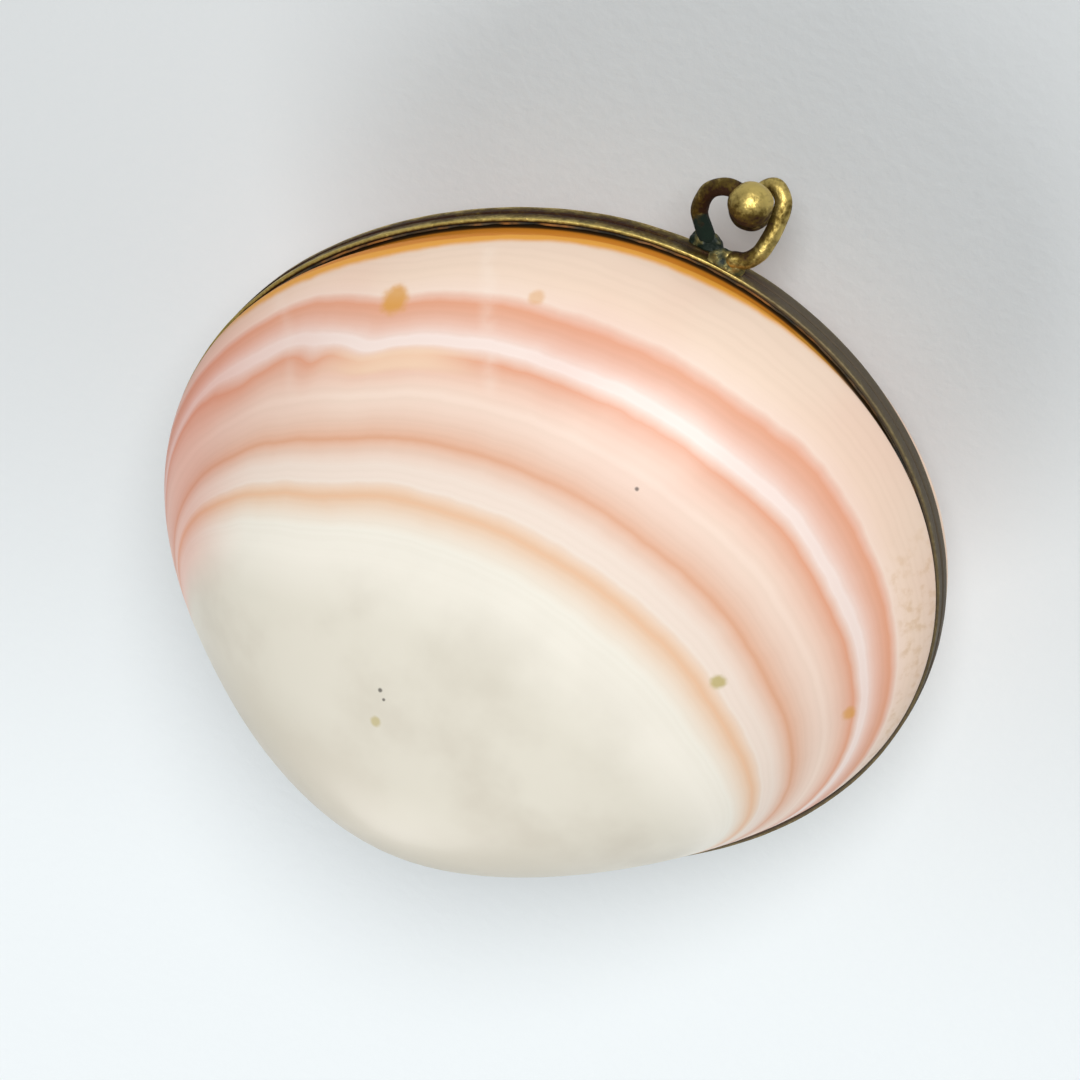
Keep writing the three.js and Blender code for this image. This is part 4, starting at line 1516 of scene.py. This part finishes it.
# %% [markdown]
# ## The catch
# Each half of the band carries a wire bent by hand into a hook, with a ball on its end. The
# wire follows a smooth curve through a few bends, so it is drawn as a curve, and a tree
# sweeps a round section along it and rounds off the root.

# %% Hook paths
WIRE_RADIUS = 0.87
BALL_RADIUS = 2.2
BALL_GAP = 0.15
WIRE_IN_BALL = 1.3
HOOK_ROOT_HEIGHT = 1.05
HOOK_ROOT_OUT = 1.05
PATH_STEPS = 24
LOWER_HOOK = {
    "side": -1, "out": LOWER_OUT, "root": 1.75, "ball": (-1.05, 7.9), "damp_reach": 3.7,
    "way": [(2.55, 2.85), (3.3, 4.0), (3.45, 5.4), (2.95, 7.1), (1.6, 8.25), (0.2, 8.4)],
}
UPPER_HOOK = {
    "side": 1, "out": UPPER_OUT, "root": -1.7, "ball": (-0.85, 6.0), "damp_reach": 1.0,
    "way": [(-2.75, 2.25), (-3.6, 3.4), (-3.85, 5.0), (-3.85, 6.8), (-3.4, 8.6), (-2.2, 9.25),
            (-1.25, 8.3)],
}
across_gap = LOWER_HOOK["ball"][0] - UPPER_HOOK["ball"][0]
forward_gap = LOWER_HOOK["ball"][1] - UPPER_HOOK["ball"][1]
BALL_HEIGHT = sqrt((2 * BALL_RADIUS + BALL_GAP) ** 2 - across_gap ** 2 - forward_gap ** 2) / 2


def hook_root(hook):
    root_y = FRONT_Y - hook["out"] - HOOK_ROOT_OUT
    return Vector((FRONT_X + hook["root"], root_y, hook["side"] * HOOK_ROOT_HEIGHT))


def ball_centre(hook):
    across, forward = hook["ball"]
    return Vector((FRONT_X + across, FRONT_Y - forward, -hook["side"] * BALL_HEIGHT))


def hook_points(hook):
    """The bends of a hook, which rises or falls evenly from its root to its ball."""
    root, ball = hook_root(hook), ball_centre(hook)
    flat = [(root.x, root.y)] + [(FRONT_X + a, FRONT_Y - f) for a, f in hook["way"]] + [(ball.x, ball.y)]
    steps = [hypot(q[0] - p[0], q[1] - p[1]) for p, q in zip(flat, flat[1:])]
    along = np.concatenate([[0], np.cumsum(steps)])
    share = along / along[-1]
    climb = share * share * (3 - 2 * share)
    return [Vector((x, y, root.z + (ball.z - root.z) * c)) for (x, y), c in zip(flat, climb)]


def smooth_path(points):
    """A centripetal spline through the points, as the CAD part bends its wire."""
    ends = [2 * points[0] - points[1]] + points + [2 * points[-1] - points[-2]]
    path = []
    for k in range(len(points) - 1):
        p0, p1, p2, p3 = ends[k:k + 4]
        d0, d1, d2 = (sqrt(max((b - a).length, 1e-6)) for a, b in ((p0, p1), (p1, p2), (p2, p3)))
        t1 = ((p1 - p0) / d0 - (p2 - p0) / (d0 + d1) + (p2 - p1) / d1) * d1
        t2 = ((p2 - p1) / d1 - (p3 - p1) / (d1 + d2) + (p3 - p2) / d2) * d1
        for i in range(PATH_STEPS):
            s = i / PATH_STEPS
            bend = (3 * (p2 - p1) - 2 * t1 - t2) * s ** 2
            twist = (2 * (p1 - p2) + t1 + t2) * s ** 3
            path.append(p1 + t1 * s + bend + twist)
    return path + [points[-1]]


def trimmed(path, before_end):
    """The path without its last stretch."""
    lengths = [0.0]
    for a, b in zip(path, path[1:]):
        lengths.append(lengths[-1] + (b - a).length)
    return [p for p, length in zip(path, lengths) if length <= lengths[-1] - before_end]


print("ball height above and below the parting plane in mm:", round(BALL_HEIGHT, 2))

# %% Wire tree
WIRE_SPACING = 0.16
WIRE_SIDES = 32
ROOT_LEAST = 0.0004


def wire_tree():
    tree, size = new_tree("Bent wire", [
        ("Geometry", "Geometry", None), ("Radius", "Float", WIRE_RADIUS),
        ("Spacing", "Float", WIRE_SPACING), ("Sides", "Int", WIRE_SIDES),
        ("Root Rounding", "Float", WIRE_RADIUS), ("Material", "Material", None)])
    even = add_node(tree, "GeometryNodeResampleCurve", {"mode": "LENGTH"}, Curve=size["Geometry"],
                    Length=size["Spacing"])
    along = tree.nodes.new("GeometryNodeSplineParameter")
    near = 1.0 - (Term(tree, along.outputs["Length"]) / size["Root Rounding"]).at_most(1.0)
    swell = (1.0 - near * near).at_least(ROOT_LEAST) ** 0.5
    scaled = add_node(tree, "GeometryNodeSetCurveRadius", Curve=even.outputs[0],
                      Radius=swell * size["Radius"])
    circle = add_node(tree, "GeometryNodeCurvePrimitiveCircle", Resolution=size["Sides"], Radius=1.0)
    reach = tree.nodes.new("GeometryNodeInputRadius")
    swept = add_node(tree, "GeometryNodeCurveToMesh", Curve=scaled.outputs[0],
                     Profile_Curve=circle.outputs[0], Scale=reach.outputs[0], Fill_Caps=True)
    return end_tree(tree, swept.outputs[0], size["Material"])


bent_wire = wire_tree()

# %% Hooks
HOOK_WAVE = 0.07
HOOK_WAVE_SCALE = 1.6
HOOK_PUSH = -0.03
HOOK_WEAR = 0.42
OUTER_SIDE_WEAR_AND_LIGHT = 0.30
TOP_WEAR_AND_LIGHT = 0.22


def hook_wear_and_light(points, normals, middle):
    """A hook is rubbed on its outer side and on top, which also carry a painted highlight, and its inner
    side and underside get painted shade.
    """
    outward = points - middle
    outward[:, 2] = 0
    outward = outward / np.linalg.norm(outward, axis=1)[:, None]
    facing = (normals * outward).sum(1)
    return np.clip(HOOK_WEAR + OUTER_SIDE_WEAR_AND_LIGHT * facing + TOP_WEAR_AND_LIGHT * normals[:, 2], 0, 1)


def hook_mesh(name, hook):
    path = trimmed(smooth_path(hook_points(hook)), BALL_RADIUS - WIRE_IN_BALL)
    start = (path[1] - path[0]).normalized()
    path = [path[0] - start * WIRE_RADIUS] + path
    mesh = clean(grow(name, bent_wire, source=poly_curve(name, path, "3D")))
    points = vertex_array(mesh)
    # rubbing, with painted light on the outer side and top and painted shade inside and below
    wear_and_light = hook_wear_and_light(points, normal_array(mesh), np.array(path).mean(0))
    roughen(mesh, HOOK_WAVE, HOOK_WAVE_SCALE, hook["out"], push=HOOK_PUSH)
    paint(mesh, "wear_and_light", wear_and_light)
    # damp stays in the solder joint, and moss-black verdigris creeps up the wire from there
    away = np.linalg.norm(points - np.array(hook_root(hook)), axis=1)
    paint(mesh, "damp", linear_step(away, hook["damp_reach"], 0))
    return mesh


lower_wire = hook_mesh("lower_wire", LOWER_HOOK)
upper_wire = hook_mesh("upper_wire", UPPER_HOOK)
place("lower_wire", lower_wire, dark_wire_finish, "lower_catch", "lower_catch_hook")
place("upper_wire", upper_wire, wire_finish, "upper_catch", "upper_catch_hook")

# %% [markdown]
# The balls are cast and filed by hand. A sphere with a faint unevenness and a worn top reads better than a
# perfect one; the worn top and front also carry a painted highlight, with painted shade behind and below.
# It keeps the real radius as its largest.

# %% Balls
LUMP_LEVELS = 5
BALL_WAVE = 0.12
BALL_WAVE_SCALE = 1.4
BALL_WEAR = 0.30
BALL_TOP_WEAR_AND_LIGHT = 0.28
BALL_FRONT_WEAR_AND_LIGHT = 0.62


def lumpy_ball(name, centre, radii, amount, scale, seed):
    work = bmesh.new()
    bmesh.ops.create_icosphere(work, subdivisions=LUMP_LEVELS, radius=1.0)
    mesh = mesh_from(work, name)
    mesh.transform(Matrix.Diagonal((*radii, 1)))
    roughen(mesh, amount / 2, scale, seed, push=-amount / 2)
    mesh.transform(Matrix.Translation(centre))
    return clean(mesh)


def ball_mesh(name, hook, seed):
    mesh = lumpy_ball(name, ball_centre(hook), [BALL_RADIUS] * 3, BALL_WAVE, BALL_WAVE_SCALE, seed)
    # fingers rub the top and the front, which also get a painted highlight, and the back and underside get
    # painted shade
    normals = normal_array(mesh)
    wear_and_light = BALL_WEAR + BALL_TOP_WEAR_AND_LIGHT * normals[:, 2] - BALL_FRONT_WEAR_AND_LIGHT * normals[:, 1]
    paint(mesh, "wear_and_light", np.clip(wear_and_light, 0, 1))
    return mesh


lower_ball = ball_mesh("lower_ball", LOWER_HOOK, seed=5.2)
upper_ball = ball_mesh("upper_ball", UPPER_HOOK, seed=9.4)
place("lower_ball", lower_ball, ball_finish, "lower_catch", "lower_catch_ball")
place("upper_ball", upper_ball, ball_finish, "upper_catch", "upper_catch_ball")

# %% [markdown]
# Solder holds each root to its band. It is a rough lump that ran a little along the brass, so
# it is a flattened ball with strong noise, pressed flat where it meets the band.

# %% Solder lumps
SOLDER_SIZE = (2.1, 1.7, 1.0)
SOLDER_WAVE = 0.5
SOLDER_WAVE_SCALE = 0.9
SOLDER_BACK = 0.5
SOLDER_GAP = 0.02


def solder_mesh(name, hook, seed):
    points = hook_points(hook)
    centre = hook_root(hook) - (points[1] - points[0]).normalized() * SOLDER_BACK
    centre.y += HOOK_ROOT_OUT / 2
    mesh = lumpy_ball(name, centre, SOLDER_SIZE, SOLDER_WAVE, SOLDER_WAVE_SCALE, seed)
    coords = vertex_array(mesh)
    wall = hook["out"] + SOLDER_GAP
    wall_x, wall_y = edge_point(angle_from_catch(coords), wall)
    inside_wall = edge_offset(coords) < wall
    coords[inside_wall, 0] = wall_x[inside_wall]
    coords[inside_wall, 1] = wall_y[inside_wall]
    move_vertices(mesh, coords)
    return mesh


lower_lump = solder_mesh("lower_solder_lump", LOWER_HOOK, seed=2.2)
upper_lump = solder_mesh("upper_solder_lump", UPPER_HOOK, seed=6.1)
place("lower_solder_lump", lower_lump, mossy_solder_finish, "base", "lower_catch_solder")
place("upper_solder_lump", upper_lump, bare_solder_finish, "lid", "upper_catch_solder")

# %% [markdown]
# ## Floor, light and camera
# The box lies on a plain pale surface with a painted falloff of light, darker towards the top of the
# picture.
# A soft window lights it from the catch side, and a pale wall throws some light back from the
# hinge side. The camera stands where the photograph was taken, turned so that the catch is at
# the upper right.

# %% Floor
# painted falloff of light: the floor colour darkens towards the top of the picture along this direction
FLOOR_FALLOFF_DIRECTION = (-0.342, 0.940)
FLOOR_DIM_AT = -20.0
FLOOR_BRIGHT_AT = 73.0
FLOOR_PAINTED_DIM = linear(212, 216, 217)
FLOOR_PAINTED_BRIGHT = linear(236, 242, 244)
FLOOR_HALF = 2.0


def floor_material():
    material, tree, shader, here = surface("pale floor")
    spot = add_node(tree, "ShaderNodeSeparateXYZ", Vector=here)
    along = Term(tree, spot.outputs[0]) * FLOOR_FALLOFF_DIRECTION[0] + Term(tree, spot.outputs[1]) * FLOOR_FALLOFF_DIRECTION[1]
    # how far along the painted falloff of light the point lies
    share = smooth_step(tree, along / MM, FLOOR_DIM_AT, FLOOR_BRIGHT_AT)
    finish_surface(tree, shader, grain(tree, here, 700.0, 3.0), 0.0002, 0.35,
                   Base_Color=blend_colours(tree, share, FLOOR_PAINTED_DIM, FLOOR_PAINTED_BRIGHT), Roughness=0.7)
    return material


floor_mesh = bpy.data.meshes.new("floor")
floor_corners = block_corners(-FLOOR_HALF, FLOOR_HALF, -FLOOR_HALF, FLOOR_HALF)
floor_mesh.from_pydata([(x, y, 0) for x, y in floor_corners], [], [(0, 1, 2, 3)])
floor_mesh.materials.append(floor_material())
floor = bpy.data.objects.new("floor", floor_mesh)
link(floor)
print("the floor is", 2 * FLOOR_HALF, "m wide")

# %% Light
ROOM_COLOUR = linear(252, 253, 255)
ROOM_STRENGTH = 0.23
LIT_POINT = (0, 0, 0.02)

world = bpy.data.worlds.new("soft room")
world.use_nodes = True
background = world.node_tree.nodes["Background"]
background.inputs["Color"].default_value = ROOM_COLOUR
background.inputs["Strength"].default_value = ROOM_STRENGTH
bpy.context.scene.world = world


def soft_lamp(name, place_at, size, power):
    data = bpy.data.lights.new(name, "AREA")
    data.shape = "DISK"
    data.size = size
    data.energy = power
    lamp = bpy.data.objects.new(name, data)
    lamp.location = place_at
    lamp.rotation_euler = (Vector(LIT_POINT) - Vector(place_at)).to_track_quat("-Z", "Y").to_euler()
    link(lamp)


soft_lamp("window", (-0.05, -0.60, 0.67), size=0.40, power=6.2)
soft_lamp("pale wall", (0.04, 0.77, 0.46), size=0.6, power=4.9)
print("two soft lamps and a pale room")

# %% Camera
CAMERA_RIGHT = Vector((-0.8872, -0.3667, -0.2799))
CAMERA_UP = Vector((0.4505, -0.8193, -0.3547))
CAMERA_BACK = Vector((-0.0993, -0.4408, 0.8921))
CAMERA_DISTANCE = 375.0
CAMERA_AIM_RIGHT = -0.686
CAMERA_AIM_UP = 0.427
SENSOR_WIDTH = 36.0
FOCAL_IN_FRAME_WIDTHS = 3.5257

camera_data = bpy.data.cameras.new("camera")
camera_data.sensor_width = SENSOR_WIDTH
camera_data.lens = SENSOR_WIDTH * FOCAL_IN_FRAME_WIDTHS
camera = bpy.data.objects.new("camera", camera_data)
stand = CAMERA_BACK * CAMERA_DISTANCE + CAMERA_RIGHT * CAMERA_AIM_RIGHT + CAMERA_UP * CAMERA_AIM_UP
turn = Matrix((CAMERA_RIGHT, CAMERA_UP, CAMERA_BACK)).transposed().to_4x4()
camera.matrix_world = LEVEL_TO_ROW @ Matrix.Translation(stand * MM) @ turn
link(camera)
bpy.context.scene.camera = camera
bpy.context.scene.view_settings.view_transform = "Standard"
print("camera at", [round(v, 3) for v in camera.matrix_world.translation])
